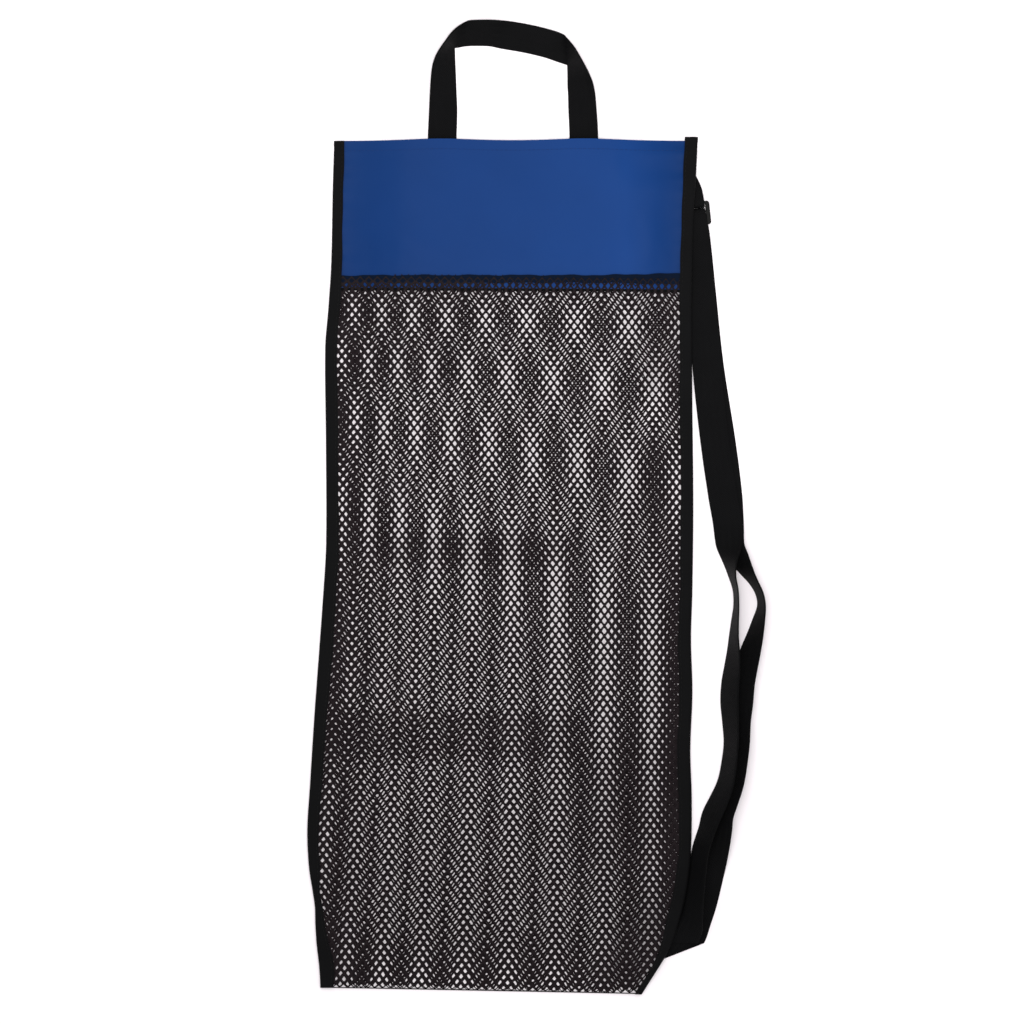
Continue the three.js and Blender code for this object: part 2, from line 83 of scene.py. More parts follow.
# Side outlines from the bottom up: y, outer edge of the binding, its visible width
LEFT_EDGE = (
    (-380, -163.0, 9.0),
    (-352, -164.2, 13.2),
    (-330, -166.6, 11.2),
    (-312, -167.8, 8.2),
    (-297, -168.2, 6.4),
    (-284, -170.0, 6.2),
    (-262, -173.4, 9.6),
    (-230, -174.8, 10.2),
    (-190, -172.4, 10.4),
    (-130, -168.6, 11.2),
    (-70, -164.2, 11.8),
    (-20, -160.6, 11.6),
    (20, -158.4, 10.9),
    (110, -158.6, 10.7),
    (190, -159.2, 10.6),
    (225, -156.4, 10.0),
    (262, -154.0, 9.6),
    (330, -152.6, 9.2),
    (380, -151.0, 9.0),
)
RIGHT_EDGE = (
    (-380, 112.0, 6.0),
    (-356, 127.0, 6.2),
    (-341, 136.2, 7.4),
    (-326, 143.4, 9.6),
    (-310, 148.8, 11.2),
    (-292, 153.8, 11.6),
    (-270, 157.6, 11.3),
    (-245, 159.6, 11.0),
    (-200, 160.0, 11.4),
    (-160, 158.8, 11.6),
    (-110, 160.6, 11.4),
    (-64, 159.4, 11.2),
    (-20, 160.6, 11.0),
    (57, 161.4, 11.0),
    (175, 160.2, 10.8),
    (255, 160.2, 10.6),
    (300, 161.4, 10.8),
    (338, 163.6, 11.2),
    (380, 165.6, 11.4),
)

# What holds the right edge up: height, where it starts, is full, is full until, and ends
EDGE_LIFTS = (
    (3.2, -372, -348, -312, -268),
    (3.2, 130, 174, 356, 372),
    (3.2, 238, 280, 326, 350),
)

# Handle from leg to leg: its inner edge, its outer edge and the height of its lower side. Where the
# two edges lie closer together than the webbing is wide, it stands up on its inner edge
HANDLE = (
    (-44.9, 346.3, -69.9, 346.3, 1.3),
    (-44.9, 360.2, -69.9, 360.2, 1.3),
    (-44.8, 372.4, -69.8, 372.4, 1.3),
    (-44.2, 395.0, -68.8, 395.0, 0.2),
    (-44.8, 412.0, -67.9, 412.0, 0),
    (-45.4, 427.0, -66.8, 427.0, 0),
    (-46.0, 440.0, -65.0, 437.5, 0),
    (-46.3, 449.0, -61.5, 445.4, 0),
    (-46.4, 450.8, -57.0, 452.0, 0),
    (-46.3, 451.0, -53.4, 457.0, 0),
    (-46.2, 451.1, -49.9, 462.0, 0),
    (-45.9, 451.2, -45.5, 466.7, 0),
    (-43.5, 451.4, -39.5, 471.3, 0),
    (-38.0, 452.4, -33.1, 474.4, 0),
    (-30.0, 452.9, -26.5, 474.7, 0),
    (-19.0, 452.8, -17.0, 474.8, 0),
    (-5.0, 450.3, -1.5, 474.3, 0),
    (14.0, 447.0, 20.0, 471.0, 0),
    (32.0, 442.7, 38.8, 466.2, 0),
    (44.0, 438.6, 48.3, 462.6, 0),
    (50.6, 436.5, 51.3, 458.9, 0),
    (51.4, 436.2, 54.6, 454.6, 0),
    (51.6, 436.1, 58.0, 450.0, 0),
    (51.7, 436.0, 61.3, 444.3, 0),
    (51.7, 435.8, 64.4, 438.9, 0),
    (51.7, 433.5, 67.2, 434.0, 0),
    (51.8, 428.0, 70.4, 427.9, 0),
    (51.8, 420.0, 73.9, 419.8, 0),
    (52.3, 410.0, 75.9, 410.0, 0),
    (52.6, 397.0, 77.1, 397.0, 0.1),
    (53.2, 384.0, 78.1, 384.0, 0.7),
    (53.5, 372.4, 78.5, 372.4, 1.3),
    (53.5, 360.2, 78.5, 360.2, 1.3),
    (53.5, 346.3, 78.5, 346.3, 1.3),
)

# Centre lines of the strap: x, y, roll and skew of its section in degrees, height of its lower side
FRONT_PLY = (
    (162.5, 291.4, 0, 0, 4.8),
    (164.3, 274.1, 0, 0, 3.4),
    (166.6, 251.4, 0, 0, 1.6),
    (169.9, 214.0, 0, 0, 1.6),
    (174.3, 160.1, 0, 0, 1.6),
    (180.1, 107.9, 0, 0, 1.6),
    (186.6, 62.6, 0, 0, 1.6),
    (190.7, 38.3, 8, 0, 1.6),
    (192.1, 18.3, 28, 0, 1.6),
    (192.8, 5.2, 60, 0, 1.2),
    (194.7, -7.8, 77, 0, 0.4),
    (197.8, -20.9, 82, 0, 0),
    (198.4, -34.8, 82, 0, 0),
    (197.3, -47.9, 78, 0, 0),
    (196.3, -61.8, 73, 0, 0.3),
    (195.9, -74.8, 66, 0, 1.0),
    (194.7, -88.7, 59, 0, 2.0),
    (193.0, -102.7, 55, 0, 2.2),
    (192.4, -118.3, 54, 0, 2.2),
    (193.3, -135.7, 58, 0, 2.2),
    (193.8, -154.9, 62, 0, 2.2),
    (191.2, -177.5, 60, 0, 2.2),
    (188.4, -190.5, 57, 0, 2.2),
    (183.2, -203.6, 52, 0, 2.0),
    (177.1, -216.6, 50, 0, 1.2),
    (172.8, -229.7, 56, 0, 0.4),
    (167.4, -247.1, 56, 0, 0),
    (165.0, -266.2, 57, 0, 0),
    (161.9, -290.6, 52, 0, 1.7),
    (159.6, -307.1, 40, 0, 2.1),
    (156.2, -318.4, 15, 10, 1.8),
    (150.5, -328.0, 0, 30, 1.6),
)
BACK_PLY = (
    (162.7, 291.4, 0, 0, 0),
    (165.3, 270.6, 0, 0, 0),
    (168.8, 235.8, 0, 0, 0),
    (175.3, 174.9, 0, 0, 0),
    (185.7, 107.9, 0, 0, 0),
    (191.4, 62.6, 0, 0, 0),
    (192.8, 38.3, 7, 0, 0),
    (194.4, 18.3, 27, 0, 0),
    (201.8, 5.2, 50, 0, 0),
    (208.5, -6.1, 66, 0, 0),
    (214.0, -14.8, 75, 0, 0),
    (218.7, -24.4, 77, 0, 0),
    (220.3, -34.8, 76, 0, 0),
    (217.8, -47.9, 67, 0, 0),
    (214.4, -61.8, 57, 0, 0),
    (210.7, -74.8, 47, 0, 0),
    (207.3, -88.7, 42, 0, 0),
    (204.4, -102.7, 38, 0, 0),
    (202.7, -118.3, 35, 0, 0),
    (200.4, -135.7, 33, 0, 0),
    (200.9, -154.9, 45, 0, 0),
    (198.6, -177.5, 49, 0, 0),
    (196.5, -190.5, 52, 0, 0),
    (192.3, -203.6, 52, 0, 0),
    (187.3, -216.6, 47, 0, 0),
    (184.4, -229.7, 35, 0, 0),
    (180.3, -247.1, 18, 0, 0),
    (175.6, -268.0, 0, 0, 0),
    (169.8, -292.3, 0, 0, 0),
    (164.8, -308.0, 0, 0, 0),
    (160.2, -321.0, 0, 20, 0),
    (151.5, -336.0, 0, 52, 0),
)

# Slider and the webbing round its bars
SLIDER_X = 159.4
SLIDER_Y = 306.2
SLIDER_TURN = math.radians(6)
SLOT_WIDTH = 25.8
SLOT_HEIGHT = 6.4
SLIDER_BAR = 2.6
SLIDER_RAIL = 3.8
TURN_RADIUS = 2.4
LOOP_REACH = 3.82
SLIDER_Z = 3.05
SLIDER_PITCH = SLIDER_BAR + SLOT_HEIGHT
SLIDER_EASE = 0.75
FRAME_CORNER = 1.6
SLOT_CORNER = 1.2
TAB_ALONG = (0.0, 10.0, 18.0, 26.0)
TAB_SIDE = (0.0, -0.8, -3.4, -6.8)

# Count of half columns and of rows of knitted holes over each net, by place in tenths of a metre:
# at the origin, per s, per t, and the drift with s*s, s*t, t*t, s*s*t, s*t*t, s*s*s and t*t*t.
# A least-squares fit to the nets in the photo gave these numbers
FRONT_KNIT = (
    (0.0, 33.303, -0.457, -0.1, 0.311, 0.112, -0.0185, -0.0138, 0.109, 0.0),
    (0.316, 0.291, 22.32, 0.0, -0.066, 0.072, 0.0, 0.005, 0.0, -0.0188),
)
BACK_KNIT = (
    (0.188, 27.761, -0.521, 0.532, 0.276, 0.077, 0.082, 0.022, -0.021, 0.0),
    (0.348, 0.58, 22.901, 0.0, -0.056, 0.347, 0.0, -0.04, 0.0, 0.0186),
)
# How far along a strand the knot cuts off a hole's top, right, bottom and left corners
KNOT_BLUNT = (0.2, 0.1, 0.2, 0.1)
# Where the nets are drawn together or apart, along two packing folds, in the lower right, at the bottom,
# in the upper left, by the strap and over the header: x from and to, y from and to, softness of the
# edges and change of the holes
NET_DRAWN = (
    (-118, 60, 2, 27, 7, -0.075),
    (-158, 60, -168, -128, 7, -0.075),
    (60, 165, -270, -148, 34, -0.085),
    (-180, 90, -380, -326, 26, -0.07),
    (-150, -30, 160, 240, 16, -0.04),
    (108, 160, 110, 250, 14, 0.08),
    (-160, 170, 241, 260, 2, 0.06),
)
# The back net has slipped down below the lower fold, and leans up on its left where it nears the bottom
FOLD_Y = -124.0
FOLD_SLIP = 0.6
FOLD_RISE = 0.8
FOLD_LEAN = 0.0095
FOLD_SOFT = 8
LEAN_FROM = 85
LEAN_FULL = 215
# Millimetres to one unit of the knit's tables, and the counts of cells that cover the whole bag
KNIT_UNIT = 100
CELL_REACH = 90
COLUMN_REACH = 62
LOWEST_COURSE = -96
HIGHEST_COURSE = 68
KEY_STEP = 4096
# A net's cells keep this far inside its cloth edge, above the bottom seam (their knots a little less)
# and below its top edge
NET_SIDE = 2.2
NET_FOOT = 1.2
KNOT_FOOT = 0.4
NET_END = 3.0
NET_LOW_Y = BOTTOM_Y - 9
# Spread of the holes' sizes, and how much smaller they are in the slack cloth beside the bindings
HOLE_SPREAD = 0.03
SIDE_SLACK = 0.1
SLACK_FROM = 4
SLACK_TO = 58
# The front net's turned edge: its foot and its height over the net, its holes and its shift
TURNED_FOOT = 3.0
TURNED_RISE = 0.75
TURNED_HOLES = 0.94
TURNED_SHIFT = (0.9, 0.4)
# A net's hem: how far it stands past the top edge, how much taller it grows, the share of that
# below, and how far from the bag's sides it ends
HEM_PAST = 0.3
HEM_GROWTH = 1.6
HEM_DROP = 0.8
HEM_END = 5
# Roll of the bottom seam: half height, half width, distance from the corners and above the edge
SEAM_HALF_HEIGHT = 1.0
SEAM_HALF_WIDTH = 0.45
SEAM_END = 5
SEAM_UP = 0.5

# Long soft folds of the front header: from x, y to x, y, height and half width
HEADER_FOLDS = (
    (84, 366, 128, 268, 1.5, 15),
    (-136, 306, -62, 270, 1.1, 13),
    (-30, 360, 30, 300, 0.7, 20),
)
# Puckers along the front header's seams: their height and reach, and where its cloth is free of the hem
SEAM_PUCKER = 0.28
SEAM_PUCKER_REACH = 11
SIDE_PUCKER = 0.26
SIDE_PUCKER_REACH = 9
HEADER_SLACK = 0.3
HEM_CLEAR_Y = 256
# Header cloth: its grid, how far down it is sewn, and its turned edge's extra thickness
HEADER_COLUMNS = 110
HEADER_ROWS = 60
HEADER_SEWN = 8
HEADER_TURN = 0.35
# Tape on the front header's lower edge
SEAM_TAPE = 0.5
SEAM_TAPE_DROP = 0.7
SEAM_TAPE_FOOT = 2.4
SEAM_TAPE_TOP = 0.6
SEAM_TAPE_ROWS = 3

# Binding tape: extra thickness of its turned end, and how far in it is sewn
TAPE_TURN = 0.55
TAPE_SEWN = 2.0

# Stitches: gap between two, height of a run on an underside, and the box sewn on each handle leg
STITCH_GAP = 0.8
UNDER_STITCH = -0.1
LEG_BOX_HALF = 9.5
LEG_BOX_FOOT = 2.5
LEG_BOX_TOP = 20.5

# Camera and floor
VIEW_CENTRE = (3.48, 46.98, 6.0)
VIEW_WIDTH = 890.9
FLOOR_HALF = 4000.0
FLOOR_Z = -0.1


# Colours and numbers

def linear(hex_colour):
    """Linear colour of an sRGB hex value."""
    parts = [int(hex_colour[i:i + 2], 16) / 255 for i in (1, 3, 5)]
    return tuple(c / 12.92 if c <= 0.04045 else ((c + 0.055) / 1.055) ** 2.4 for c in parts)


def ramp(value, low, high):
    """0 below low, 1 above high and a smooth step between them."""
    share = np.clip((value - low) / (high - low), 0.0, 1.0)
    return share * share * (3.0 - 2.0 * share)


def band(value, start, full, until, end):
    """1 from full until the third place, with smooth steps to 0 at its start and end."""
    return ramp(value, start, full) * (1 - ramp(value, until, end))


def mix(first, second, share):
    return first + (second - first) * share


def through(places, values, level=False):
    """A smooth function through the values at the given places, with no overshoot if level."""
    places = np.asarray(places, float)
    values = np.asarray(values, float)
    secants = np.diff(values) / np.diff(places)
    slopes = np.empty_like(values)
    slopes[0] = secants[0]
    slopes[-1] = secants[-1]
    slopes[1:-1] = (values[2:] - values[:-2]) / (places[2:] - places[:-2])
    if level:
        turns = secants[1:] * secants[:-1] <= 0
        least = 2 * np.minimum(np.abs(secants[1:]), np.abs(secants[:-1]))
        slopes[1:-1] = np.where(turns, 0.0, np.clip(slopes[1:-1], -least, least))

    def at(place):
        place = np.clip(place, places[0], places[-1])
        i = np.clip(np.searchsorted(places, place) - 1, 0, len(places) - 2)
        span = places[i + 1] - places[i]
        f = (place - places[i]) / span
        start = (1 + 2 * f) * (1 - f) ** 2 * values[i] + f * (1 - f) ** 2 * span * slopes[i]
        end = f * f * (3 - 2 * f) * values[i + 1] + f * f * (f - 1) * span * slopes[i + 1]
        return start + end

    return at


# The bag's shape

left_y, left_outer, left_width = np.array(LEFT_EDGE, float).T
right_y, right_outer, right_width = np.array(RIGHT_EDGE, float).T
left_out = through(left_y, left_outer)
left_tape = through(left_y, left_width)
right_out = through(right_y, right_outer)
right_tape = through(right_y, right_width)


def row_y(row, u):
    """Height of a row at share u of the width: the lowest rows lean with the bottom seam."""
    return row + mix(BOTTOM_SLANT, -BOTTOM_SLANT, u) * (1 - ramp(row, BOTTOM_Y, BOTTOM_Y + 120))


def lap(y):
    """1 where a net laps over its header, 0 elsewhere."""
    return band(y, HEADER_BOTTOM_Y - LAP_SOFT, HEADER_BOTTOM_Y, NET_TOP_Y, NET_TOP_Y + LAP_SOFT)


def right_lift(y):
    """How far the strap and the slider hold the right edge off the floor."""
    total = 0.0
    for height, *places in EDGE_LIFTS:
        total = total + height * band(y, *places)
    return total


def lift_at(x, y):
    return right_lift(y) * (1 - ramp(right_out(y) - x, LIFT_WIDTH, LIFT_FADE))


def from_binding(x, y):
    """Distance inwards from the nearer binding's inner edge."""
    return np.minimum(x - left_out(y) - left_tape(y), right_out(y) - right_tape(y) - x)


def edge_share(x, y, shoulder):
    """1 inside the bindings, falling to 0 over the shoulder's width."""
    return 1 - ramp(from_binding(x, y), 1.5, shoulder)


def pouch(y):
    """How far the middle of the front stands above the floor."""
    height = mix(POUCH_HEIGHT, MOUTH_HEIGHT, ramp(y, HEADER_BOTTOM_Y, HEADER_TOP_Y))
    return mix(PLY, height, ramp(y - BOTTOM_Y, 6, BOTTOM_RISE))


def ripple(x, y):
    calm = ramp(y - BOTTOM_Y, 20, 140) * (1 - ramp(y, 180, HEADER_BOTTOM_Y - LAP_SOFT))
    return RIPPLE * calm * np.sin(2 * math.pi * x / RIPPLE_PITCH + y / 90)


def header_wave(x, y):
    return HEADER_WAVE * ramp(y, HEADER_BOTTOM_Y + 20, HEADER_TOP_Y) * np.sin(x / 34 + y / 60)


def front_header_z(x, y):
    edge = edge_share(x, y, SHOULDER)
    return mix(pouch(y) + header_wave(x, y), PLY * (2 + lap(y)), edge) + lift_at(x, y)


def front_net_z(x, y):
    edge = edge_share(x, y, SHOULDER)
    middle = pouch(y) + PLY * lap(y) + header_wave(x, y) + ripple(x, y)
    return mix(middle, PLY * (2 + 2 * lap(y)), edge) + lift_at(x, y)


def back_header_z(x, y):
    return PLY * lap(y) + PLY * edge_share(x, y, BACK_SHOULDER) + lift_at(x, y)


def back_net_z(x, y):
    return PLY * edge_share(x, y, BACK_SHOULDER) + lift_at(x, y)


def leg_middles():
    """Where the middles of the handle's two legs are across the bag."""
    return [(leg[0] + leg[2]) / 2 for leg in (HANDLE[0], HANDLE[-1])]


def header_rise(x, y):
    """How far the header is drawn up: at its top by the handle's legs, at its foot on the left."""
    legs = sum(np.exp(-(((x - middle) / HEADER_PULL) ** 2)) for middle in leg_middles())
    top = HEADER_LIFT * legs * ramp(y, HEADER_TOP_Y - 40, HEADER_TOP_Y)
    share = (x - left_out(y)) / (right_out(y) - left_out(y))
    return top + mix(FOOT_RISE, 0.0, share) * (1 - ramp(y, HEADER_BOTTOM_Y, HEADER_BOTTOM_Y + 14))


def pucker(along, pitch, sway, sway_pitch):
    """A wave along a seam whose pitch wanders."""
    return np.sin(along / pitch + sway * np.sin(along / sway_pitch))


def header_creases(x, y):
    """Slack of the coated cloth: puckers along its seams and a few long soft folds."""
    above = np.maximum(y - HEM_CLEAR_Y, 0)
    beside = np.maximum(from_binding(x, y), 0)
    seam = SEAM_PUCKER * pucker(x, 2.3, 2.2, 37) * np.exp(-above / SEAM_PUCKER_REACH)
    side = SIDE_PUCKER * pucker(y, 2.1, 1.7, 19) * np.exp(-beside / SIDE_PUCKER_REACH)
    folds = 0.0
    for start_x, start_y, end_x, end_y, height, width in HEADER_FOLDS:
        length = math.hypot(end_x - start_x, end_y - start_y)
        along = ((x - start_x) * (end_x - start_x) + (y - start_y) * (end_y - start_y)) / length
        off = ((x - start_x) * (end_y - start_y) - (y - start_y) * (end_x - start_x)) / length
        inside = band(along, -18, 22, length - 22, length + 18)
        folds = folds + height * inside * np.exp(-((off / width) ** 2))
    return (seam + side + folds + HEADER_SLACK) * ramp(y, HEM_CLEAR_Y - 1, HEM_CLEAR_Y + 12)


# Meshes

def new_piece(name, shape, material):
    """A smooth-shaded mesh object of millimetre points and faces, with any threads as a UV map."""
    points, faces, *threads = shape
    mesh = bpy.data.meshes.new(name)
    mesh.from_pydata((np.asarray(points) * MM).tolist(), [], faces)
    mesh.shade_smooth()
    mesh.set_sharp_from_angle(angle=math.radians(55))
    if threads:
        corners = np.empty(len(mesh.loops), np.int32)
        mesh.loops.foreach_get("vertex_index", corners)
        layer = mesh.uv_layers.new(name="threads")
        layer.uv.foreach_set("vector", (threads[0][corners] * MM).ravel())
    mesh.materials.append(material)
    piece = bpy.data.objects.new(name, mesh)
    bpy.context.scene.collection.objects.link(piece)
    return piece


def dress(piece, slot, *nodes):
    """Sets a piece on the bag in place of its CAD nodes."""
    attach(piece, "root")
    if nodes:
        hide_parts(*nodes)
    return piece


def add_piece(name, shape, material, slot, *nodes):
    return dress(new_piece(name, shape, material), slot, *nodes)


def unit(vectors):
    return vectors / np.linalg.norm(vectors, axis=-1, keepdims=True)


def reach_along(path):
    """Length along a path up to each of its points."""
    return np.concatenate(([0.0], np.cumsum(np.linalg.norm(np.diff(path, axis=0), axis=-1))))


def cloth_wall(rows, thickness, normal=None):
    """Points, faces and thread places of a closed wall round rows of middle points."""
    count, across, _ = rows.shape
    if normal is None:
        normal = unit(np.cross(np.gradient(rows, axis=1), np.gradient(rows, axis=0)))
    half = normal * np.broadcast_to(np.asarray(thickness) / 2, (count, across))[..., None]
    points = np.concatenate(((rows + half).reshape(-1, 3), (rows - half).reshape(-1, 3)))
    top = np.arange(count * across).reshape(count, across)
    under = top + count * across

    def quads(a, b, c, d):
        return np.stack((a, b, c, d), axis=-1).reshape(-1, 4).tolist()

    faces = quads(top[:-1, :-1], top[:-1, 1:], top[1:, 1:], top[1:, :-1])
    faces += quads(under[:-1, :-1], under[1:, :-1], under[1:, 1:], under[:-1, 1:])
    faces += quads(top[:-1, 0], top[1:, 0], under[1:, 0], under[:-1, 0])
    faces += quads(top[:-1, -1], under[:-1, -1], under[1:, -1], top[1:, -1])
    faces += quads(top[0, :-1], under[0, :-1], under[0, 1:], top[0, 1:])
    faces += quads(top[-1, :-1], top[-1, 1:], under[-1, 1:], under[-1, :-1])
    sideways = np.linalg.norm(np.diff(rows, axis=1), axis=-1)
    u = np.concatenate((np.zeros((count, 1)), np.cumsum(sideways, axis=1)), axis=1)
    v = np.broadcast_to(reach_along(rows[:, across // 2])[:, None], u.shape)
    threads = np.stack((u, v), axis=-1).reshape(-1, 2)
    return points, faces, np.concatenate((threads, threads))


def stitch_run(path, facing, sizes):
    """Points and faces of stitches along a path that faces up or down, their ends dipping in."""
    length = sizes.stitch / MM
    radius = sizes.thread / MM
    reach = reach_along(path)
    count = max(int(reach[-1] / (length + STITCH_GAP)), 1)
    middles = (np.arange(count) + 0.5) * reach[-1] / count

    def along(places):
        return np.stack([np.interp(places, reach, path[:, axis]) for axis in range(3)], axis=-1)

    tangent = unit(along(middles + length / 2) - along(middles - length / 2))
    side = unit(np.cross(np.array((0.0, 0.0, facing)), tangent))
    rise = np.cross(tangent, side)
    centre = along(middles)
    sides = 6
    turn = np.arange(sides) * 2 * math.pi / sides
    template = [(-0.5, 0.0, -1.2)]
    rings = ((-0.42, 0.6, -0.3), (-0.2, 1.0, 0.35), (0.2, 1.0, 0.35), (0.42, 0.6, -0.3))
    for place, size, height in rings:
        template += [(place, size * math.cos(a), size * math.sin(a) + height) for a in turn]
    template.append((0.5, 0.0, -1.2))
    template = np.array(template)
    points = centre[:, None] + tangent[:, None] * template[:, 0, None] * length
    points = points + side[:, None] * template[:, 1, None] * radius
    points = points + rise[:, None] * template[:, 2, None] * radius
    last = len(template) - 1
    shape = []
    for k in range(sides):
        n = (k + 1) % sides
        shape.append((0, 1 + n, 1 + k))
        for ring in range(3):
            first = 1 + ring * sides
            shape.append((first + k, first + n, first + sides + n, first + sides + k))
        shape.append((last, last - sides + k, last - sides + n))
    faces = [tuple(v + s * len(template) for v in face) for s in range(count) for face in shape]
    return points.reshape(-1, 3), faces


def joined(runs):
    """One set of points and faces from several."""
    points = []
    faces = []
    start = 0
    for run_points, run_faces in runs:
        points.append(run_points)
        faces += [tuple(v + start for v in face) for face in run_faces]
        start += len(run_points)
    return np.concatenate(points), faces


def panel_rows(from_y, to_y, under, columns, rows, rise=None):
    """Middle points of a panel between two rows, its columns closer together near the bindings."""
    u = 0.5 - 0.5 * np.cos(math.pi * np.arange(columns + 1) / columns)
    y = row_y(np.linspace(from_y, to_y, rows + 1)[:, None], u[None, :])
    x = mix(left_out(y) + PANEL_INSET, right_out(y) - PANEL_INSET, u[None, :])
    z = under(x, y) + CLOTH / 2
    return np.stack((x, y + rise(x, y) if rise else y, z), axis=-1)


# Knitted net

def knit_count(terms, s, t):
    """A count of columns or courses at a place, and its growth with s and with t."""
    c0, cs, ct, css, cst, ctt, csst, cstt, csss, cttt = terms
    count = c0 + cs * s + ct * t + css * s * s + cst * s * t + ctt * t * t
    count = count + csst * s * s * t + cstt * s * t * t + csss * s ** 3 + cttt * t ** 3
    by_s = cs + 2 * css * s + cst * t + 2 * csst * s * t + cstt * t * t + 3 * csss * s * s
    by_t = ct + cst * s + 2 * ctt * t + csst * s * s + 2 * cstt * s * t + 3 * cttt * t * t
    return count, by_s, by_t


def knit_place(knit, columns, courses):
    """Where a column and a course of the knit cross, found by a few Newton steps."""
    columns_terms, courses_terms = knit
    s = columns / columns_terms[1]
    t = courses / courses_terms[2]
    for _ in range(7):
        column, column_s, column_t = knit_count(columns_terms, s, t)
        course, course_s, course_t = knit_count(courses_terms, s, t)
        scale = column_s * course_t - column_t * course_s
        column_off = columns - column
        course_off = courses - course
        s = s + (column_off * course_t - course_off * column_t) / scale
        t = t + (course_off * column_s - column_off * course_s) / scale
    return KNIT_UNIT * s, KNIT_UNIT * t


def bottom_edge(x):
    """Height of the bottom seam at a place across the bag."""
    left = left_out(BOTTOM_Y)
    right = right_out(BOTTOM_Y)
    return BOTTOM_Y + mix(BOTTOM_SLANT, -BOTTOM_SLANT, (x - left) / (right - left))


def net_drawn(x, y):
    """How wide the net's holes are at a place, as a share of their usual width."""
    total = 1.0
    for from_x, to_x, from_y, to_y, soft, change in NET_DRAWN:
        across = band(x, from_x - soft, from_x + soft, to_x - soft, to_x + soft)
        along = band(y, from_y - soft, from_y + soft, to_y - soft, to_y + soft)
        total = total + change * across * along
    return total


def fold_slip(x, y):
    """How far the back net has slipped down at a place."""
    lean = (FOLD_LEAN * x - FOLD_RISE) * (1 - ramp(y, FOLD_Y - LEAN_FULL, FOLD_Y - LEAN_FROM))
    return (FOLD_SLIP + lean) * (1 - ramp(y, FOLD_Y - FOLD_SOFT, FOLD_Y + FOLD_SOFT))


def net_mesh(knit, under, low_y, top_y, yarn, hole_share, shift=(0, 0), slip=None):
    """Points and faces of a net of diamond cells, its strands ridged above and below."""
    reach = np.arange(-CELL_REACH, CELL_REACH + 1)
    i, j = np.meshgrid(reach, reach)
    columns = (i - j).ravel()
    courses = (i + j).ravel()
    near = (np.abs(columns) < COLUMN_REACH) & (courses > LOWEST_COURSE) & (courses < HIGHEST_COURSE)
    columns = columns[near]
    courses = courses[near]
    x, y = knit_place(knit, columns + shift[0], courses + shift[1])
    if slip:
        y = y - slip(x, y)
    inside = (x > left_out(y) + PANEL_INSET + NET_SIDE) & (x < right_out(y) - PANEL_INSET - NET_SIDE)
    inside &= (y > bottom_edge(x) + NET_FOOT) & (y > low_y) & (y < top_y)
    columns = columns[inside]
    courses = courses[inside]
    centre = np.stack((x[inside], y[inside]), axis=-1)

    # Knots at the top, right, bottom and left of each cell, shared with its neighbours
    around = np.array(((0, 1), (1, 0), (0, -1), (-1, 0)))
    knot_keys = (columns[:, None] + around[:, 0]) * KEY_STEP + courses[:, None] + around[:, 1]
    keys, knot = np.unique(knot_keys, return_inverse=True)
    knot = knot.reshape(knot_keys.shape)
    key_column = np.round(keys / KEY_STEP)
    key_course = keys - key_column * KEY_STEP
    knot_x, knot_y = knit_place(knit, key_column + shift[0], key_course + shift[1])
    if slip:
        knot_y = knot_y - slip(knot_x, knot_y)
    knot_y = np.maximum(knot_y, bottom_edge(knot_x) + KNOT_FOOT)
    knot_z = under(knot_x, knot_y) + CLOTH / 2
    ridge = np.stack((knot_x, knot_y, knot_z + yarn / 2), axis=-1)
    keel = np.stack((knot_x, knot_y, knot_z - yarn / 2), axis=-1)

    # Each hole is an eight-sided diamond, blunt where the knots are
    spread = np.random.default_rng(len(keys)).normal(0.0, HOLE_SPREAD, (len(columns), 4, 1))
    slack = 1 - ramp(from_binding(centre[:, 0], centre[:, 1]), SLACK_FROM, SLACK_TO)
    drawn = net_drawn(centre[:, 0], centre[:, 1]) * (1 - SIDE_SLACK * slack)
    share = hole_share * drawn[:, None, None] * (1 + spread)
    corner = ridge[knot][..., :2]
    blunt = np.array(KNOT_BLUNT)[:, None]
    to_next = np.roll(corner, -1, axis=1)
    to_last = np.roll(corner, 1, axis=1)
    before = mix(centre[:, None], mix(corner, to_last, blunt), share)
    after = mix(centre[:, None], mix(corner, to_next, blunt), share)
    ring_xy = np.stack((before, after), axis=2).reshape(-1, 2)
    ring_z = under(ring_xy[:, 0], ring_xy[:, 1]) + CLOTH / 2
    points = np.concatenate((ridge, keel, np.concatenate((ring_xy, ring_z[:, None]), axis=-1)))

    knots = len(keys)
    ring = 2 * knots + np.arange(8 * len(columns)).reshape(-1, 4, 2)
    first = ring[..., 0]
    second = ring[..., 1]
    next_knot = np.roll(knot, -1, axis=1)
    next_first = np.roll(first, -1, axis=1)
    strands = np.stack((next_knot, knot, second, next_first), axis=-1).reshape(-1, 4)
    under_strands = np.stack((knot + knots, next_knot + knots, next_first, second), axis=-1)
    under_strands = under_strands.reshape(-1, 4)
    tips = np.stack((knot, first, second), axis=-1).reshape(-1, 3)
    under_tips = np.stack((knot + knots, second, first), axis=-1).reshape(-1, 3)
    side = np.stack((knot, next_knot), axis=-1).reshape(-1, 2)
    pair = np.sort(side, axis=1)
    _, which, uses = np.unique(pair[:, 0] * knots + pair[:, 1], return_inverse=True, return_counts=True)
    rim = side[uses[which.ravel()] == 1]
    close = np.stack((rim[:, 0], rim[:, 1], rim[:, 1] + knots, rim[:, 0] + knots), axis=-1)
    faces = []
    for group in (strands, under_strands, tips, under_tips, close):
        faces += group.tolist()
    return points, faces


# Webbing

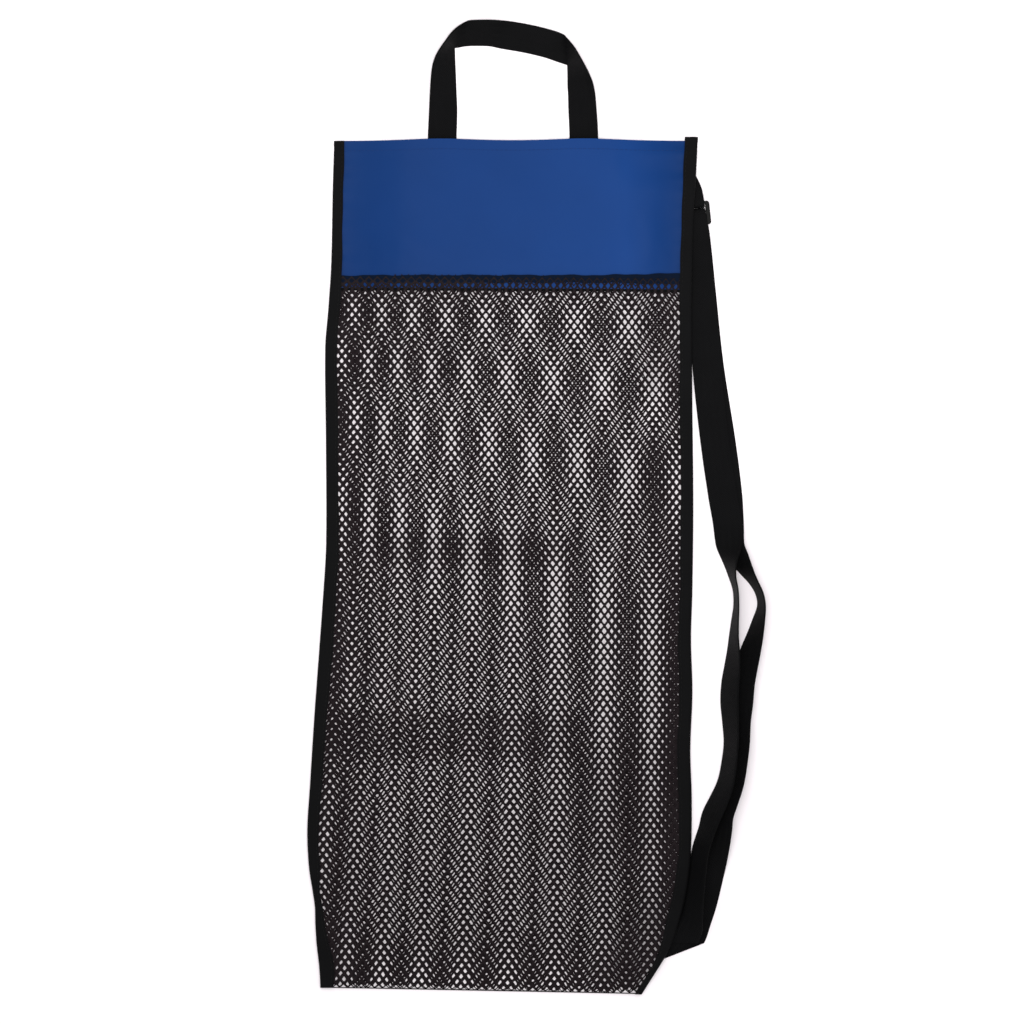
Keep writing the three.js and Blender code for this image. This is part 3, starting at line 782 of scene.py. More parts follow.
def webbing_line(stations, width, thickness, step=2.5):
    """Middle points and sideways directions of webbing along a table of stations."""
    x, y, roll, skew, rest = np.array(stations, float).T
    knots = np.concatenate(([0.0], np.cumsum(np.sqrt(np.hypot(np.diff(x), np.diff(y))))))
    fine = np.linspace(0.0, knots[-1], 60 * len(x))
    fine_x = through(knots, x)(fine)
    fine_y = through(knots, y)(fine)
    reach = np.concatenate(([0.0], np.cumsum(np.hypot(np.diff(fine_x), np.diff(fine_y)))))
    evenly = np.linspace(0.0, reach[-1], int(reach[-1] / step) + 1)
    at = np.interp(evenly, reach, fine)
    numbers = np.arange(len(x))
    number = np.interp(at, knots, numbers)
    roll = np.radians(np.maximum(through(numbers, roll)(number), 0.0))
    skew = np.radians(np.maximum(through(numbers, skew)(number), 0.0))
    rest = np.maximum(through(numbers, rest)(number), 0.0)
    middle_x = through(knots, x)(at)
    middle_y = through(knots, y)(at)
    across = np.arctan2(np.gradient(middle_x), -np.gradient(middle_y)) + skew
    flat = np.cos(roll) / np.cos(skew)
    middle_z = rest + (width * np.sin(roll) + thickness * np.cos(roll)) / 2
    sideways = np.stack((flat * np.cos(across), flat * np.sin(across), np.sin(roll)), axis=-1)
    return np.stack((middle_x, middle_y, middle_z), axis=-1), sideways


def edged_line(stations, width, thickness, step=1.6):
    """Middle points and sideways directions of webbing whose two edges are known."""
    stations = np.array(stations, float)
    between = (stations[:, :2] + stations[:, 2:4]) / 2
    reach = reach_along(between)
    at = np.linspace(0.0, reach[-1], int(reach[-1] / step) + 1)
    inner_x, inner_y, outer_x, outer_y, rest = [through(reach, row, level=True)(at) for row in stations.T]
    flat = np.stack((outer_x - inner_x, outer_y - inner_y), axis=-1) / width
    flat = flat / np.maximum(np.linalg.norm(flat, axis=-1, keepdims=True), 1.0)
    rise = np.sqrt(np.maximum(1 - (flat ** 2).sum(axis=-1), 0.0))
    level = np.sqrt(1 - rise ** 2)
    z = rest + (width * rise + thickness * level) / 2
    middle = np.stack(((inner_x + outer_x) / 2, (inner_y + outer_y) / 2, z), axis=-1)
    return middle, np.concatenate((flat, rise[:, None]), axis=-1)


def webbing_wall(middle, sideways, width, thickness):
    """Closed webbing round its middle points, its two selvedges rolled thin."""
    share = np.array((-1, -0.985, -0.95, -0.86, -0.6, -0.3, 0, 0.3, 0.6, 0.86, 0.95, 0.985, 1))
    rows = middle[:, None] + sideways[:, None] * share[None, :, None] * width / 2
    thin = np.array((0.3, 0.62, 0.86, 1, 1, 1, 1, 1, 1, 1, 0.86, 0.62, 0.3))
    normal = unit(np.cross(sideways, np.gradient(middle, axis=0)))
    return cloth_wall(rows, thickness * thin, normal[:, None])


def bar_turn(bar_y, side, steps=14):
    """Half a turn of stiff webbing round one bar of the slider, in the slider's own frame."""
    angle = math.pi * np.arange(steps + 1) / steps
    y = bar_y + side * LOOP_REACH * np.sin(angle)
    return np.stack((np.zeros_like(y), y, SLIDER_Z - TURN_RADIUS * np.cos(angle)), axis=-1)


def in_slider_frame(local, place=True):
    x = local[..., 0] * math.cos(SLIDER_TURN) - local[..., 1] * math.sin(SLIDER_TURN)
    y = local[..., 0] * math.sin(SLIDER_TURN) + local[..., 1] * math.cos(SLIDER_TURN)
    if place:
        x = x + SLIDER_X
        y = y + SLIDER_Y
    return np.stack((x, y, local[..., 2]), axis=-1)


# Materials

def add_node(tree, kind, values=(), links=(), **settings):
    """Adds a node with its settings, input values and links."""
    node = tree.nodes.new(kind)
    for key, value in settings.items():
        setattr(node, key, value)
    for key, value in dict(values).items():
        node.inputs[key].default_value = value
    for key, socket in dict(links).items():
        tree.links.new(socket, node.inputs[key])
    return node


def new_material(name, roughness, ior, specular):
    """A material with its shader's plain values set, its tree, its shader and places on the object."""
    material = bpy.data.materials.new(name)
    material.use_nodes = True
    tree = material.node_tree
    shader = tree.nodes["Principled BSDF"]
    shader.inputs["Roughness"].default_value = roughness
    shader.inputs["IOR"].default_value = ior
    shader.inputs["Specular IOR Level"].default_value = specular
    place = add_node(tree, "ShaderNodeTexCoord").outputs["Object"]
    return material, tree, shader, place


def shade(colour, factor):
    return tuple(min(c * factor, 1.0) for c in colour[:3]) + (1.0,)


def mottle(tree, shader, place, patch, colour, dark, light):
    """Slow change between two shades of a colour, in patches of a size in millimetres."""
    noise = add_node(
        tree, "ShaderNodeTexNoise", {"Scale": 1 / (patch * MM), "Detail": 3.0}, {"Vector": place}
    )
    blend = add_node(
        tree, "ShaderNodeMix", {"A": shade(colour, dark), "B": shade(colour, light)},
        {"Factor": noise.outputs["Fac"]}, data_type="RGBA",
    )
    tree.links.new(blend.outputs["Result"], shader.inputs["Base Color"])


def wave_height(tree, socket, pitch, phase=None):
    """Sine of a length along the surface, one wave to each pitch in metres."""
    turns = add_node(tree, "ShaderNodeMath", {1: 2 * math.pi / pitch}, {0: socket}, operation="MULTIPLY")
    if phase is not None:
        turns = add_node(tree, "ShaderNodeMath", (), {0: turns.outputs[0], 1: phase}, operation="ADD")
    return add_node(tree, "ShaderNodeMath", (), {0: turns.outputs[0]}, operation="SINE").outputs[0]


def add_bump(tree, shader, height, strength, distance):
    bump = add_node(
        tree, "ShaderNodeBump", {"Strength": strength, "Distance": distance}, {"Height": height}
    )
    tree.links.new(bump.outputs["Normal"], shader.inputs["Normal"])


def knitted_polyester(name, colour):
    # Warp-knitted polyester net: dull black yarn with a brownish cast and a loose twist
    material, tree, shader, place = new_material(name, 0.75, 1.56, 0.03)
    mottle(tree, shader, place, 40, colour, 0.8, 1.3)
    # Filaments of 0.02 mm drawn as strands of 0.5 mm, to show at all
    strands = add_node(
        tree, "ShaderNodeTexNoise", {"Scale": 1 / (0.5 * MM), "Detail": 2.0}, {"Vector": place}
    )
    add_bump(tree, shader, strands.outputs["Fac"], 0.5, 0.2 * MM)
    return material


def coated_oxford(name, colour):
    # Polyester oxford with a thin polyurethane coat: saturated blue with a soft satin gloss
    material, tree, shader, place = new_material(name, 0.5, 1.5, 0.04)
    axes = add_node(tree, "ShaderNodeSeparateXYZ", (), {0: place})
    # Painted sheen: the colour is painted darker towards both sides and brightest right of its middle,
    # standing in for where the slack cloth catches the light
    across = add_node(tree, "ShaderNodeMapRange", {1: -160 * MM, 2: 160 * MM}, {0: axes.outputs["X"]})
    painted_sheen = add_node(tree, "ShaderNodeValToRGB", (), {0: across.outputs[0]})
    stops = painted_sheen.color_ramp.elements
    for at, tone in ((0.05, 0.18), (0.28, 0.46), (0.55, 0.62), (0.82, 0.95), (0.91, 0.5)):
        stop = stops.new(at)
        stop.color = (tone, tone, tone, 1.0)
    stops[-1].color = (0.0, 0.0, 0.0, 1.0)
    cloud = add_node(
        tree, "ShaderNodeTexNoise", {"Scale": 1 / (50 * MM), "Detail": 3.0}, {"Vector": place}
    )
    # A quarter of random cloud is mixed into the painted sheen
    tone = add_node(
        tree, "ShaderNodeMix", {"Factor": 0.25}, {"A": painted_sheen.outputs["Color"], "B": cloud.outputs["Fac"]},
        data_type="RGBA",
    )
    # Painted shade and painted highlight: a darker and a lighter copy of the blue, blended by the painted
    # sheen and the cloud
    blend = add_node(
        tree, "ShaderNodeMix", {"A": shade(colour, 0.62), "B": shade(colour, 1.24)},
        {"Factor": tone.outputs["Result"]}, data_type="RGBA",
    )
    tree.links.new(blend.outputs["Result"], shader.inputs["Base Color"])
    # Yarns 0.4 mm apart, drawn at 1 mm so that the plain weave shows
    warp = wave_height(tree, axes.outputs["X"], 1.0 * MM)
    weft = wave_height(tree, axes.outputs["Y"], 1.0 * MM)
    weave = add_node(tree, "ShaderNodeMath", (), {0: warp, 1: weft}, operation="MULTIPLY")
    creep = add_node(
        tree, "ShaderNodeTexNoise", {"Scale": 1 / (16 * MM), "Detail": 4.0}, {"Vector": place}
    )
    slack = add_node(tree, "ShaderNodeMath", {1: 14.0}, {0: creep.outputs["Fac"]}, operation="MULTIPLY")
    height = add_node(
        tree, "ShaderNodeMath", (), {0: slack.outputs[0], 1: weave.outputs[0]}, operation="ADD"
    )
    add_bump(tree, shader, height.outputs[0], 0.6, 0.03 * MM)
    return material


def woven_tape(name, colour):
    # Grosgrain polyester tape: fine ribs across it, matt and nearly black
    material, tree, shader, place = new_material(name, 0.75, 1.56, 0.05)
    mottle(tree, shader, place, 30, colour, 0.8, 1.25)
    threads = add_node(tree, "ShaderNodeUVMap", uv_map="threads")
    axes = add_node(tree, "ShaderNodeSeparateXYZ", (), {0: threads.outputs["UV"]})
    # Ribs 0.6 mm apart, drawn at 1.2 mm to show
    ribs = wave_height(tree, axes.outputs["Y"], 1.2 * MM)
    add_bump(tree, shader, ribs, 0.7, 0.12 * MM)
    return material


def woven_webbing(name, colour):
    # Flat polypropylene webbing: low chevron ribs of twisted yarn with a faint waxy gloss
    material, tree, shader, place = new_material(name, 0.62, 1.49, 0.045)
    mottle(tree, shader, place, 24, colour, 0.8, 1.25)
    threads = add_node(tree, "ShaderNodeUVMap", uv_map="threads")
    axes = add_node(tree, "ShaderNodeSeparateXYZ", (), {0: threads.outputs["UV"]})
    # Chevrons 6.2 mm wide of ribs 2.2 mm apart
    zigzag = add_node(
        tree, "ShaderNodeMath", {1: 3.1 * MM}, {0: axes.outputs["X"]}, operation="PINGPONG"
    )
    slant = add_node(
        tree, "ShaderNodeMath", {1: 1.1 * 2 * math.pi / (2.2 * MM)}, {0: zigzag.outputs[0]},
        operation="MULTIPLY",
    )
    ribs = wave_height(tree, axes.outputs["Y"], 2.2 * MM, slant.outputs[0])
    yarns = wave_height(tree, axes.outputs["X"], 1.03 * MM)
    cover = add_node(tree, "ShaderNodeMath", {1: 0.4}, {0: yarns}, operation="MULTIPLY")
    height = add_node(tree, "ShaderNodeMath", (), {0: ribs, 1: cover.outputs[0]}, operation="ADD")
    add_bump(tree, shader, height.outputs[0], 0.8, 0.16 * MM)
    return material


def moulded_nylon(name, colour):
    # Injection-moulded nylon: black with a fine spark-eroded grain and soft highlights
    material, tree, shader, place = new_material(name, 0.55, 1.53, 0.08)
    mottle(tree, shader, place, 12, colour, 0.85, 1.2)
    grain = add_node(
        tree, "ShaderNodeTexNoise", {"Scale": 1 / (0.4 * MM), "Detail": 2.0}, {"Vector": place}
    )
    add_bump(tree, shader, grain.outputs["Fac"], 0.25, 0.05 * MM)
    return material


def spun_thread(name, colour):
    # Spun polyester sewing thread: a two-ply twist with a slight sheen
    material, tree, shader, place = new_material(name, 0.6, 1.56, 0.08)
    shader.inputs["Sheen Weight"].default_value = 0.01
    mottle(tree, shader, place, 6, colour, 0.8, 1.3)
    plies = add_node(
        tree, "ShaderNodeTexWave", {"Scale": 1 / (1.6 * MM), "Distortion": 1.0}, {"Vector": place}
    )
    add_bump(tree, shader, plies.outputs["Fac"], 0.5, 0.08 * MM)
    return material


def matt_board(name, colour):
    # Matt white painted board: even, without gloss, with a trace of roller texture
    material, tree, shader, place = new_material(name, 0.95, 1.5, 0.1)
    mottle(tree, shader, place, 300, colour, 0.99, 1.0)
    return material


def material_of(name, make, colour):
    """The named material, made the first time that a piece asks for it."""
    return bpy.data.materials.get(name) or make(name, colour)


# Sizes and colours

def length_property(name, description, millimetres):
    return bpy.props.FloatProperty(
        name=name, description=description, default=millimetres * MM, unit="LENGTH"
    )


def colour_property(name, description, hex_colour):
    return bpy.props.FloatVectorProperty(
        name=name, description=description, default=linear(hex_colour), subtype="COLOR", min=0, max=1
    )


class BagSizes(bpy.types.PropertyGroup):
    """Sizes that change the look of the bag's cloth"""
    yarn: length_property("Net yarn", "Thickness of the net's knitted strands", 0.8)
    hole_share: bpy.props.FloatProperty(
        name="Hole share", description="Width of a hole as a share of its cell",
        default=0.697, subtype="FACTOR",
    )
    hem: length_property("Net hem", "Height of the hem on the net's top edge", 6.6)
    header_cloth: length_property("Header cloth", "Thickness of the header cloth", 0.7)
    tape: length_property("Binding tape", "Thickness of the binding tape", 0.9)
    web_width: length_property("Webbing width", "Width of handle and strap", 25)
    web: length_property("Webbing", "Thickness of handle and strap", 1.3)
    stitch: length_property("Stitch", "Length of a stitch", 3.2)
    thread: length_property("Thread", "Radius of the sewing thread", 0.24)


class BagColours(bpy.types.PropertyGroup):
    """Colours of the bag's materials"""
    net: colour_property("Net", "Yarn of both nets", "#1b1618")
    header: colour_property("Header", "Cloth of the headers", "#0e3167")
    tape: colour_property("Tape", "Side bindings", "#0a0a0b")
    hem: colour_property("Hem", "Hem on the top of each net", "#030d1e")
    webbing: colour_property("Webbing", "Handle and strap", "#09090a")
    plastic: colour_property("Plastic", "Slider", "#080808")
    thread: colour_property("Thread", "Stitches on black", "#0c0c0c")
    header_thread: colour_property("Header thread", "Stitches on the headers", "#0f2c5e")
    floor: colour_property("Floor", "Surface that the bag lies on", "#f9f3f6")


# Operators

class BAG_OT_stage(bpy.types.Operator):
    """Lay the floor, hang the lights and set the camera above the bag"""
    bl_idname = "bag.stage"
    bl_label = "Stage"

    def execute(self, context):
        scene = context.scene
        centre = Vector(VIEW_CENTRE) * MM
        view_width = VIEW_WIDTH * MM
        lens = bpy.data.cameras.new("camera")
        lens.sensor_width = 36.0
        lens.lens = 200.0
        lens.clip_end = 50.0
        camera = bpy.data.objects.new("camera", lens)
        camera.location = centre + Vector((0, 0, view_width * lens.lens / lens.sensor_width))
        scene.collection.objects.link(camera)
        scene.camera = camera

        signs = ((-1, -1), (1, -1), (1, 1), (-1, 1))
        corners = [(x * FLOOR_HALF, y * FLOOR_HALF, FLOOR_Z) for x, y in signs]
        board = material_of("matt_painted_board", matt_board, scene.bag_colours.floor)
        floor = new_piece("floor", (corners, [(0, 1, 2, 3)]), board)

        key = bpy.data.lights.new("key", "SPOT")
        key.energy = 180.0
        key.spot_size = 0.5
        key.spot_blend = 1.0
        key.shadow_soft_size = 0.3
        sky = bpy.data.lights.new("ceiling", "AREA")
        sky.size = 2.4
        sky.energy = 60.0
        for light, place, aim in (
            (key, Vector((0.01, 0.1, 3.0)), Vector((0.0, 0.42, 0.0))),
            (sky, Vector((0.0, 0.1, 3.2)), Vector((0.0, 0.1, 0.0))),
        ):
            lamp = bpy.data.objects.new(light.name, light)
            lamp.location = place
            lamp.rotation_euler = (aim - place).to_track_quat("-Z", "Y").to_euler()
            scene.collection.objects.link(lamp)

        world = bpy.data.worlds.new("studio")
        world.use_nodes = True
        world.node_tree.nodes["Background"].inputs["Color"].default_value = (1.0, 1.0, 1.0, 1.0)
        world.node_tree.nodes["Background"].inputs["Strength"].default_value = 0.7
        scene.world = world
        scene.view_settings.view_transform = "Standard"
        return {"FINISHED"}


class BAG_OT_nets(bpy.types.Operator):
    """Knit the front and back nets, hem both and close the bottom seam"""
    bl_idname = "bag.nets"
    bl_label = "Nets"

    def execute(self, context):
        sizes = context.scene.bag_sizes
        colours = context.scene.bag_colours
        yarn = sizes.yarn / MM
        share = sizes.hole_share
        end_y = NET_TOP_Y - NET_END
        knit = material_of("warp_knitted_polyester_net", knitted_polyester, colours.net)
        thread = material_of("black_thread", spun_thread, colours.thread)
        hem_tape = material_of("woven_polyester_hem_tape", woven_tape, colours.hem)

        body = net_mesh(FRONT_KNIT, front_net_z, NET_LOW_Y, end_y, yarn, share)
        # The turned edge is drawn out by its hem, so its columns lie as wide as the back's
        turned = net_mesh(
            BACK_KNIT, turned_hem_z, HEADER_BOTTOM_Y + TURNED_FOOT, end_y, yarn,
            TURNED_HOLES * share, TURNED_SHIFT,
        )
        front = add_piece("knitted_front_net", joined([body, turned]), knit, "net", "front_net")
        cells = net_mesh(BACK_KNIT, back_net_z, NET_LOW_Y, end_y, yarn, share, slip=fold_slip)
        back = add_piece("knitted_back_net", cells, knit, "net", "back_net")

        stitches = []
        for name, under, facing, lift in (
            ("front", front_net_z, 1, CLOTH / 2),
            ("back", back_net_z, -1, UNDER_STITCH),
        ):
            rows = hem_rows(under, sizes.hem / MM)
            add_piece(name + "_net_hem", cloth_wall(rows, CLOTH), hem_tape, "net")
            stitches.append(stitch_run(rows[len(rows) // 2] + np.array((0, 0, lift)), facing, sizes))
        hem_stitches = add_piece("net_hem_stitches", joined(stitches), thread, "net")

        x = np.linspace(left_out(BOTTOM_Y) + SEAM_END, right_out(BOTTOM_Y) - SEAM_END, 160)
        y = bottom_edge(x) + SEAM_UP
        z = (back_net_z(x, y) + front_net_z(x, y) + CLOTH) / 2
        roll = seam_roll(np.stack((x, y, z), axis=-1), SEAM_HALF_HEIGHT, SEAM_HALF_WIDTH)
        seam = add_piece("bottom_seam", roll, knit, "net")

        return {"FINISHED"}


def turned_hem_z(x, y):
    """The front net's top edge is turned down over itself."""
    return front_net_z(x, y) + TURNED_RISE


def hem_rows(under, height):
    """Middle points of the hem along a net's top edge, which grows taller towards the strap side."""
    u = np.linspace(0.0, 1.0, 121)
    x = mix(left_out(NET_TOP_Y) + HEM_END, right_out(NET_TOP_Y) - HEM_END, u)
    growth = HEM_GROWTH * ramp(u, 0.72, 1.0)
    lower = NET_TOP_Y - height + HEM_PAST - HEM_DROP * growth
    lower = lower + 0.35 * np.sin(x / 6.7) + 0.25 * np.sin(x / 2.9 + 1)
    rows = []
    for share in np.linspace(1.0, 0.0, 7):
        y = lower + share * (height + (1 + HEM_DROP) * growth)
        rows.append(np.stack((x, y, under(x, np.minimum(y, NET_TOP_Y)) + CLOTH / 2), axis=-1))
    return np.array(rows)[::-1]


def seam_roll(path, half_height, half_width, sides=10):
    """A closed oval roll along a path that runs across the bag."""
    turn = np.arange(sides) * 2 * math.pi / sides
    ring = np.stack((np.zeros(sides), half_width * np.cos(turn), half_height * np.sin(turn)), axis=-1)
    points = (path[:, None] + ring[None]).reshape(-1, 3)
    faces = []
    for i in range(len(path) - 1):
        for k in range(sides):
            n = (k + 1) % sides
            start = i * sides
            faces.append((start + k, start + n, start + sides + n, start + sides + k))
    faces.append(tuple(reversed(range(sides))))
    faces.append(tuple((len(path) - 1) * sides + k for k in range(sides)))
    return points, faces


class BAG_OT_headers(bpy.types.Operator):
    """Cut and hem the two coated headers"""
    bl_idname = "bag.headers"
    bl_label = "Headers"

    def execute(self, context):
        sizes = context.scene.bag_sizes
        colours = context.scene.bag_colours
        cloth = sizes.header_cloth / MM
        oxford = material_of("coated_polyester_oxford", coated_oxford, colours.header)
        thread = material_of("header_thread", spun_thread, colours.header_thread)
        stitches = []
        for name, under, rise, creases, facing, lift in (
            ("front", front_header_z, header_rise, header_creases, 1, 0.65 * cloth),
            ("back", back_header_z, None, None, -1, UNDER_STITCH),
        ):
            rows = panel_rows(HEADER_BOTTOM_Y, HEADER_TOP_Y, under, HEADER_COLUMNS, HEADER_ROWS, rise)
            if creases:
                rows[..., 2] += creases(rows[..., 0], rows[..., 1])
            from_top = HEADER_TOP_Y - np.linspace(HEADER_BOTTOM_Y, HEADER_TOP_Y, HEADER_ROWS + 1)
            # The top edge is turned in once and is thicker down to the end of the turn
            thickness = cloth * (1 + HEADER_TURN * (1 - ramp(from_top, 9.5, 11.5)))[:, None]
            wall = cloth_wall(rows, thickness)
            add_piece("coated_" + name + "_header", wall, oxford, "header", name + "_header")
            sewn = rows[int(np.argmin(np.abs(from_top - HEADER_SEWN))), 4:-4]
            stitches.append(stitch_run(sewn + np.array((0, 0, lift)), facing, sizes))
        hem = add_piece("header_hem_stitches", joined(stitches), thread, "header")
        foot = HEADER_BOTTOM_Y - SEAM_TAPE_FOOT
        top = HEADER_BOTTOM_Y + SEAM_TAPE_TOP
        rows = panel_rows(foot, top, seam_tape_z, HEADER_COLUMNS, SEAM_TAPE_ROWS, header_rise)
        tape = material_of("woven_polyester_binding_tape", woven_tape, colours.tape)
        seam = add_piece("header_seam_tape", cloth_wall(rows, SEAM_TAPE), tape, "header")
        return {"FINISHED"}


def seam_tape_z(x, y):
    """The tape that neatens the header's lower edge lies against its underside."""
    return front_header_z(x, np.maximum(y, HEADER_BOTTOM_Y)) - SEAM_TAPE_DROP


class BAG_OT_bindings(bpy.types.Operator):
    """Fold the binding tapes round both sides and sew them"""
    bl_idname = "bag.bindings"
    bl_label = "Bindings"

    def execute(self, context):
        sizes = context.scene.bag_sizes
        colours = context.scene.bag_colours
        tape = material_of("woven_polyester_binding_tape", woven_tape, colours.tape)
        thread = material_of("black_thread", spun_thread, colours.thread)
        thickness = sizes.tape / MM
        for name, side, top_y in (("left", -1, LEFT_TAPE_TOP_Y), ("right", 1, RIGHT_TAPE_TOP_Y)):
            rows, upper, lower = binding_rows(side, top_y, thickness)
            # The tape's top end is turned in and is thicker there
            turned = 1 + TAPE_TURN * ramp(rows[:, :1, 1], top_y - 5.6, top_y - 4.8)
            wall = cloth_wall(rows, thickness * turned)
            piece = add_piece("folded_" + name + "_binding", wall, tape, "tape", name + "_binding")
            runs = [stitch_run(upper, 1, sizes), stitch_run(lower, -1, sizes)]
            sewing = add_piece(name + "_binding_stitches", joined(runs), thread, "tape")
        return {"FINISHED"}


def binding_rows(side, top_y, thickness):
    """Middle points of a folded tape, under ply first, and the stitch lines on its two plies."""
    u = 0.0 if side < 0 else 1.0
    y = row_y(np.linspace(BOTTOM_Y, top_y, 240), u)
    lift = np.zeros_like(y) if side < 0 else right_lift(y)
    out = left_out(y) if side < 0 else right_out(y)
    width = left_tape(y) if side < 0 else right_tape(y)
    low = CLOTH / 2 + lift
    high = low + PLY * (3 + 2 * lap(y))
    # The tape wanders a little under the presser foot
    wander = 0.25 * np.sin(y / 17) + 0.18 * np.sin(y / 6.1 + 1)
    inner = out - side * (width + wander)
    outer = out - side * (CLOTH / 2 + FOLD_DEPTH)
    section = [(mix(inner, outer, share), low) for share in (0.0, 0.04, 0.3, 0.65, 1.0)]
    for angle in np.radians(np.linspace(-72, 72, 9)):
        x = outer + side * FOLD_DEPTH * math.cos(angle)
        section.append((x, (low + high) / 2 + (high - low) / 2 * math.sin(angle)))
    section += [(mix(inner, outer, share), high) for share in (1.0, 0.65, 0.3, 0.04, 0.0)]
    if side > 0:
        section.reverse()
    rows = np.stack([np.stack((x, y, z), axis=-1) for x, z in section], axis=1)
    sewn = inner + side * TAPE_SEWN
    upper = np.stack((sewn, y, high + thickness / 2), axis=-1)
    lower = np.stack((sewn, y, low - thickness / 2 + 0.35), axis=-1)
    return rows, upper, lower


class BAG_OT_handle(bpy.types.Operator):
    """Lay the webbing handle and sew its two legs"""
    bl_idname = "bag.handle"
    bl_label = "Handle"

    def execute(self, context):
        sizes = context.scene.bag_sizes
        colours = context.scene.bag_colours
        width = sizes.web_width / MM
        thickness = sizes.web / MM
        webbing = material_of("woven_polypropylene_webbing", woven_webbing, colours.webbing)
        thread = material_of("black_thread", spun_thread, colours.thread)
        middle, sideways = edged_line(HANDLE, width, thickness)
        wall = webbing_wall(middle, -sideways, width, thickness)
        handle = add_piece("webbing_handle", wall, webbing, "webbing", "handle")
        runs = []
        low = HANDLE[0][1] + LEG_BOX_FOOT
        high = HANDLE[0][1] + LEG_BOX_TOP
        z = HANDLE[0][4] + thickness
        share = np.linspace(0.0, 1.0, 12)[:, None]
        for leg in leg_middles():
            left = leg - LEG_BOX_HALF
            right = leg + LEG_BOX_HALF
            box = ((left, low), (right, low), (right, high), (left, high), (left, low), (right, high))
            for start, end in zip(box[:-1], box[1:]):
                line = mix(np.array((*start, z)), np.array((*end, z)), share)
                runs.append(stitch_run(line, 1, sizes))
        sewing = add_piece("handle_stitches", joined(runs), thread, "webbing")
        return {"FINISHED"}


class BAG_OT_strap(bpy.types.Operator):
    """Thread the shoulder strap through the slider and fold the short tab that holds it"""
    bl_idname = "bag.strap"
    bl_label = "Shoulder strap"

    def execute(self, context):
        sizes = context.scene.bag_sizes
        colours = context.scene.bag_colours
        width = sizes.web_width / MM
        thickness = sizes.web / MM
        webbing = material_of("woven_polypropylene_webbing", woven_webbing, colours.webbing)
        turn = in_slider_frame(bar_turn(0.0, 1))
        turn_side = np.broadcast_to(in_slider_frame(np.array((1.0, 0.0, 0.0)), place=False), turn.shape)
        front_start = (turn[-1, 0], turn[-1, 1], 0, 0, turn[-1, 2] - thickness / 2)
        back_start = (turn[0, 0], turn[0, 1], 0, 0, turn[0, 2] - thickness / 2)
        front, front_side = webbing_line((front_start,) + FRONT_PLY, width, thickness)
        back, back_side = webbing_line((back_start,) + BACK_PLY, width, thickness)
        middle = np.concatenate((back[:0:-1], turn, front[1:]))
        sideways = np.concatenate((back_side[:0:-1], turn_side, front_side[1:]))
        wall = webbing_wall(middle, sideways, width, thickness)
        strap = add_piece("shoulder_strap", wall, webbing, "webbing", "strap_front", "strap_back")

        along = np.linspace(TAB_ALONG[-1], 0.0, 20)[:-1]
        lean = through(TAB_ALONG, TAB_SIDE)
        settled = ramp(along, 0, TAB_ALONG[-1])
        under = np.full_like(along, thickness / 2)
        under_ply = np.stack((lean(along), SLIDER_PITCH + along, under), axis=-1)
        over = mix(SLIDER_Z + TURN_RADIUS, WEB_PLY + thickness / 2, settled)
        over_ply = np.stack((lean(along), SLIDER_PITCH + along, over), axis=-1)[::-1]
        angle = -np.arctan(np.gradient(lean(along), along))
        tilt = np.stack((np.cos(angle), np.sin(angle), np.zeros_like(angle)), axis=-1)
        round_bar = bar_turn(SLIDER_PITCH, -1)
        flat_side = np.broadcast_to(np.array((1.0, 0.0, 0.0)), round_bar.shape)
        middle = in_slider_frame(np.concatenate((under_ply, round_bar, over_ply)))
        sideways = in_slider_frame(np.concatenate((tilt, flat_side, tilt[::-1])), place=False)
        wall = webbing_wall(middle, -sideways, width, thickness)
        tab = add_piece("webbing_tab", wall, webbing, "webbing", "strap_tab")
        return {"FINISHED"}


def rounded_box(centre_y, half_width, half_height, radius, steps=6):
    """Outline of a rectangle with round corners."""
    outline = []
    for quarter, (sign_x, sign_y) in enumerate(((1, 1), (-1, 1), (-1, -1), (1, -1))):
        for step in range(steps + 1):
            angle = (quarter + step / steps) * math.pi / 2
            x = sign_x * (half_width - radius) + radius * math.cos(angle)
            y = centre_y + sign_y * (half_height - radius) + radius * math.sin(angle)
            outline.append((x * MM, y * MM, 0.0))
    return outline


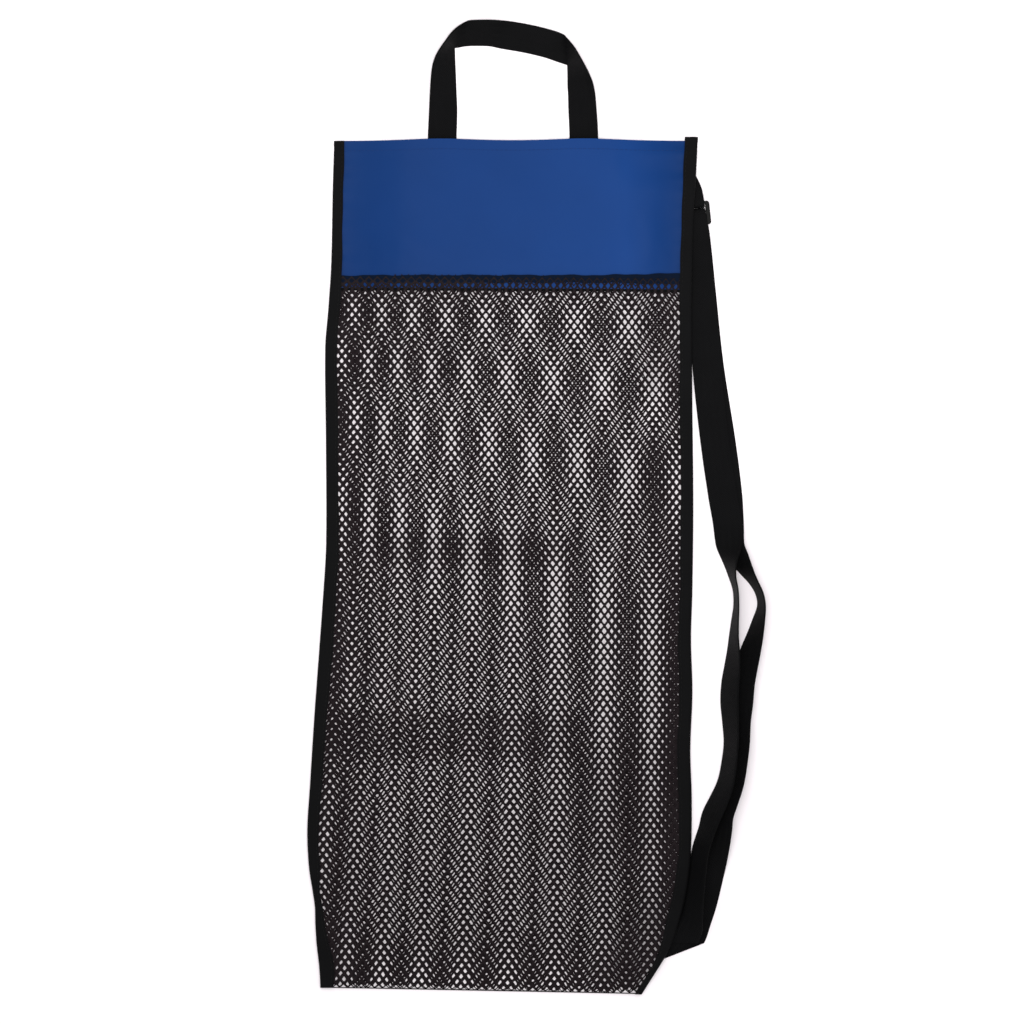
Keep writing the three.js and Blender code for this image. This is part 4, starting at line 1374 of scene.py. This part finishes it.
class BAG_OT_slider(bpy.types.Operator):
    """Mould the slider's frame with its two slots and eased edges"""
    bl_idname = "bag.slider"
    bl_label = "Slider"

    def execute(self, context):
        ease = SLIDER_EASE
        half_width = SLOT_WIDTH / 2 + SLIDER_RAIL
        half_height = SLIDER_PITCH + SLIDER_BAR / 2
        outlines = [rounded_box(0.0, half_width - ease, half_height - ease, FRAME_CORNER)]
        slot = (SLOT_WIDTH / 2 + ease, SLOT_HEIGHT / 2 + ease, SLOT_CORNER)
        for slot_y in (-SLIDER_PITCH / 2, SLIDER_PITCH / 2):
            outlines.append(rounded_box(slot_y, *slot))
        curve = bpy.data.curves.new("slider_outline", "CURVE")
        curve.dimensions = "2D"
        curve.fill_mode = "BOTH"
        curve.extrude = (SLIDER_BAR / 2 - ease) * MM
        curve.bevel_depth = ease * MM
        curve.bevel_resolution = 4
        for outline in outlines:
            spline = curve.splines.new("POLY")
            spline.points.add(len(outline) - 1)
            spline.use_cyclic_u = True
            for point, place in zip(spline.points, outline):
                point.co = (*place, 1.0)
        drawing = bpy.data.objects.new("slider_outline", curve)
        context.scene.collection.objects.link(drawing)
        mesh = bpy.data.meshes.new_from_object(drawing.evaluated_get(context.evaluated_depsgraph_get()))
        bpy.data.objects.remove(drawing)
        place = Matrix.Translation(Vector((SLIDER_X, SLIDER_Y, SLIDER_Z)) * MM)
        mesh.transform(place @ Matrix.Rotation(SLIDER_TURN, 4, "Z"))
        mesh.shade_smooth()
        mesh.set_sharp_from_angle(angle=math.radians(35))
        mesh.materials.clear()
        nylon = material_of("moulded_nylon", moulded_nylon, context.scene.bag_colours.plastic)
        mesh.materials.append(nylon)
        piece = bpy.data.objects.new("moulded_slider", mesh)
        context.scene.collection.objects.link(piece)
        dress(piece, "plastic", "slider")
        return {"FINISHED"}


class BAG_PT_pieces(bpy.types.Panel):
    """Lists the bag's pieces with their sizes and colours"""
    bl_idname = "BAG_PT_pieces"
    bl_label = "Mesh Carry Bag"
    bl_space_type = "VIEW_3D"
    bl_region_type = "UI"
    bl_category = "Bag"

    def draw(self, context):
        for operator in OPERATORS:
            self.layout.operator(operator.bl_idname)
        for group in (context.scene.bag_sizes, context.scene.bag_colours):
            box = self.layout.box()
            for name in group.__annotations__:
                box.prop(group, name)


OPERATORS = (
    BAG_OT_stage,
    BAG_OT_handle,
    BAG_OT_strap,
    BAG_OT_slider,
    BAG_OT_nets,
    BAG_OT_headers,
    BAG_OT_bindings,
)
CLASSES = (BagSizes, BagColours) + OPERATORS + (BAG_PT_pieces,)


def register():
    for cls in CLASSES:
        bpy.utils.register_class(cls)
    bpy.types.Scene.bag_sizes = bpy.props.PointerProperty(type=BagSizes)
    bpy.types.Scene.bag_colours = bpy.props.PointerProperty(type=BagColours)


def unregister():
    del bpy.types.Scene.bag_colours
    del bpy.types.Scene.bag_sizes
    for cls in reversed(CLASSES):
        bpy.utils.unregister_class(cls)


def main():
    register()
    bpy.ops.bag.stage()
    bpy.ops.bag.handle()
    bpy.ops.bag.strap()
    bpy.ops.bag.slider()
    bpy.ops.bag.nets()
    bpy.ops.bag.headers()
    bpy.ops.bag.bindings()


if __name__ == "__main__":
    main()
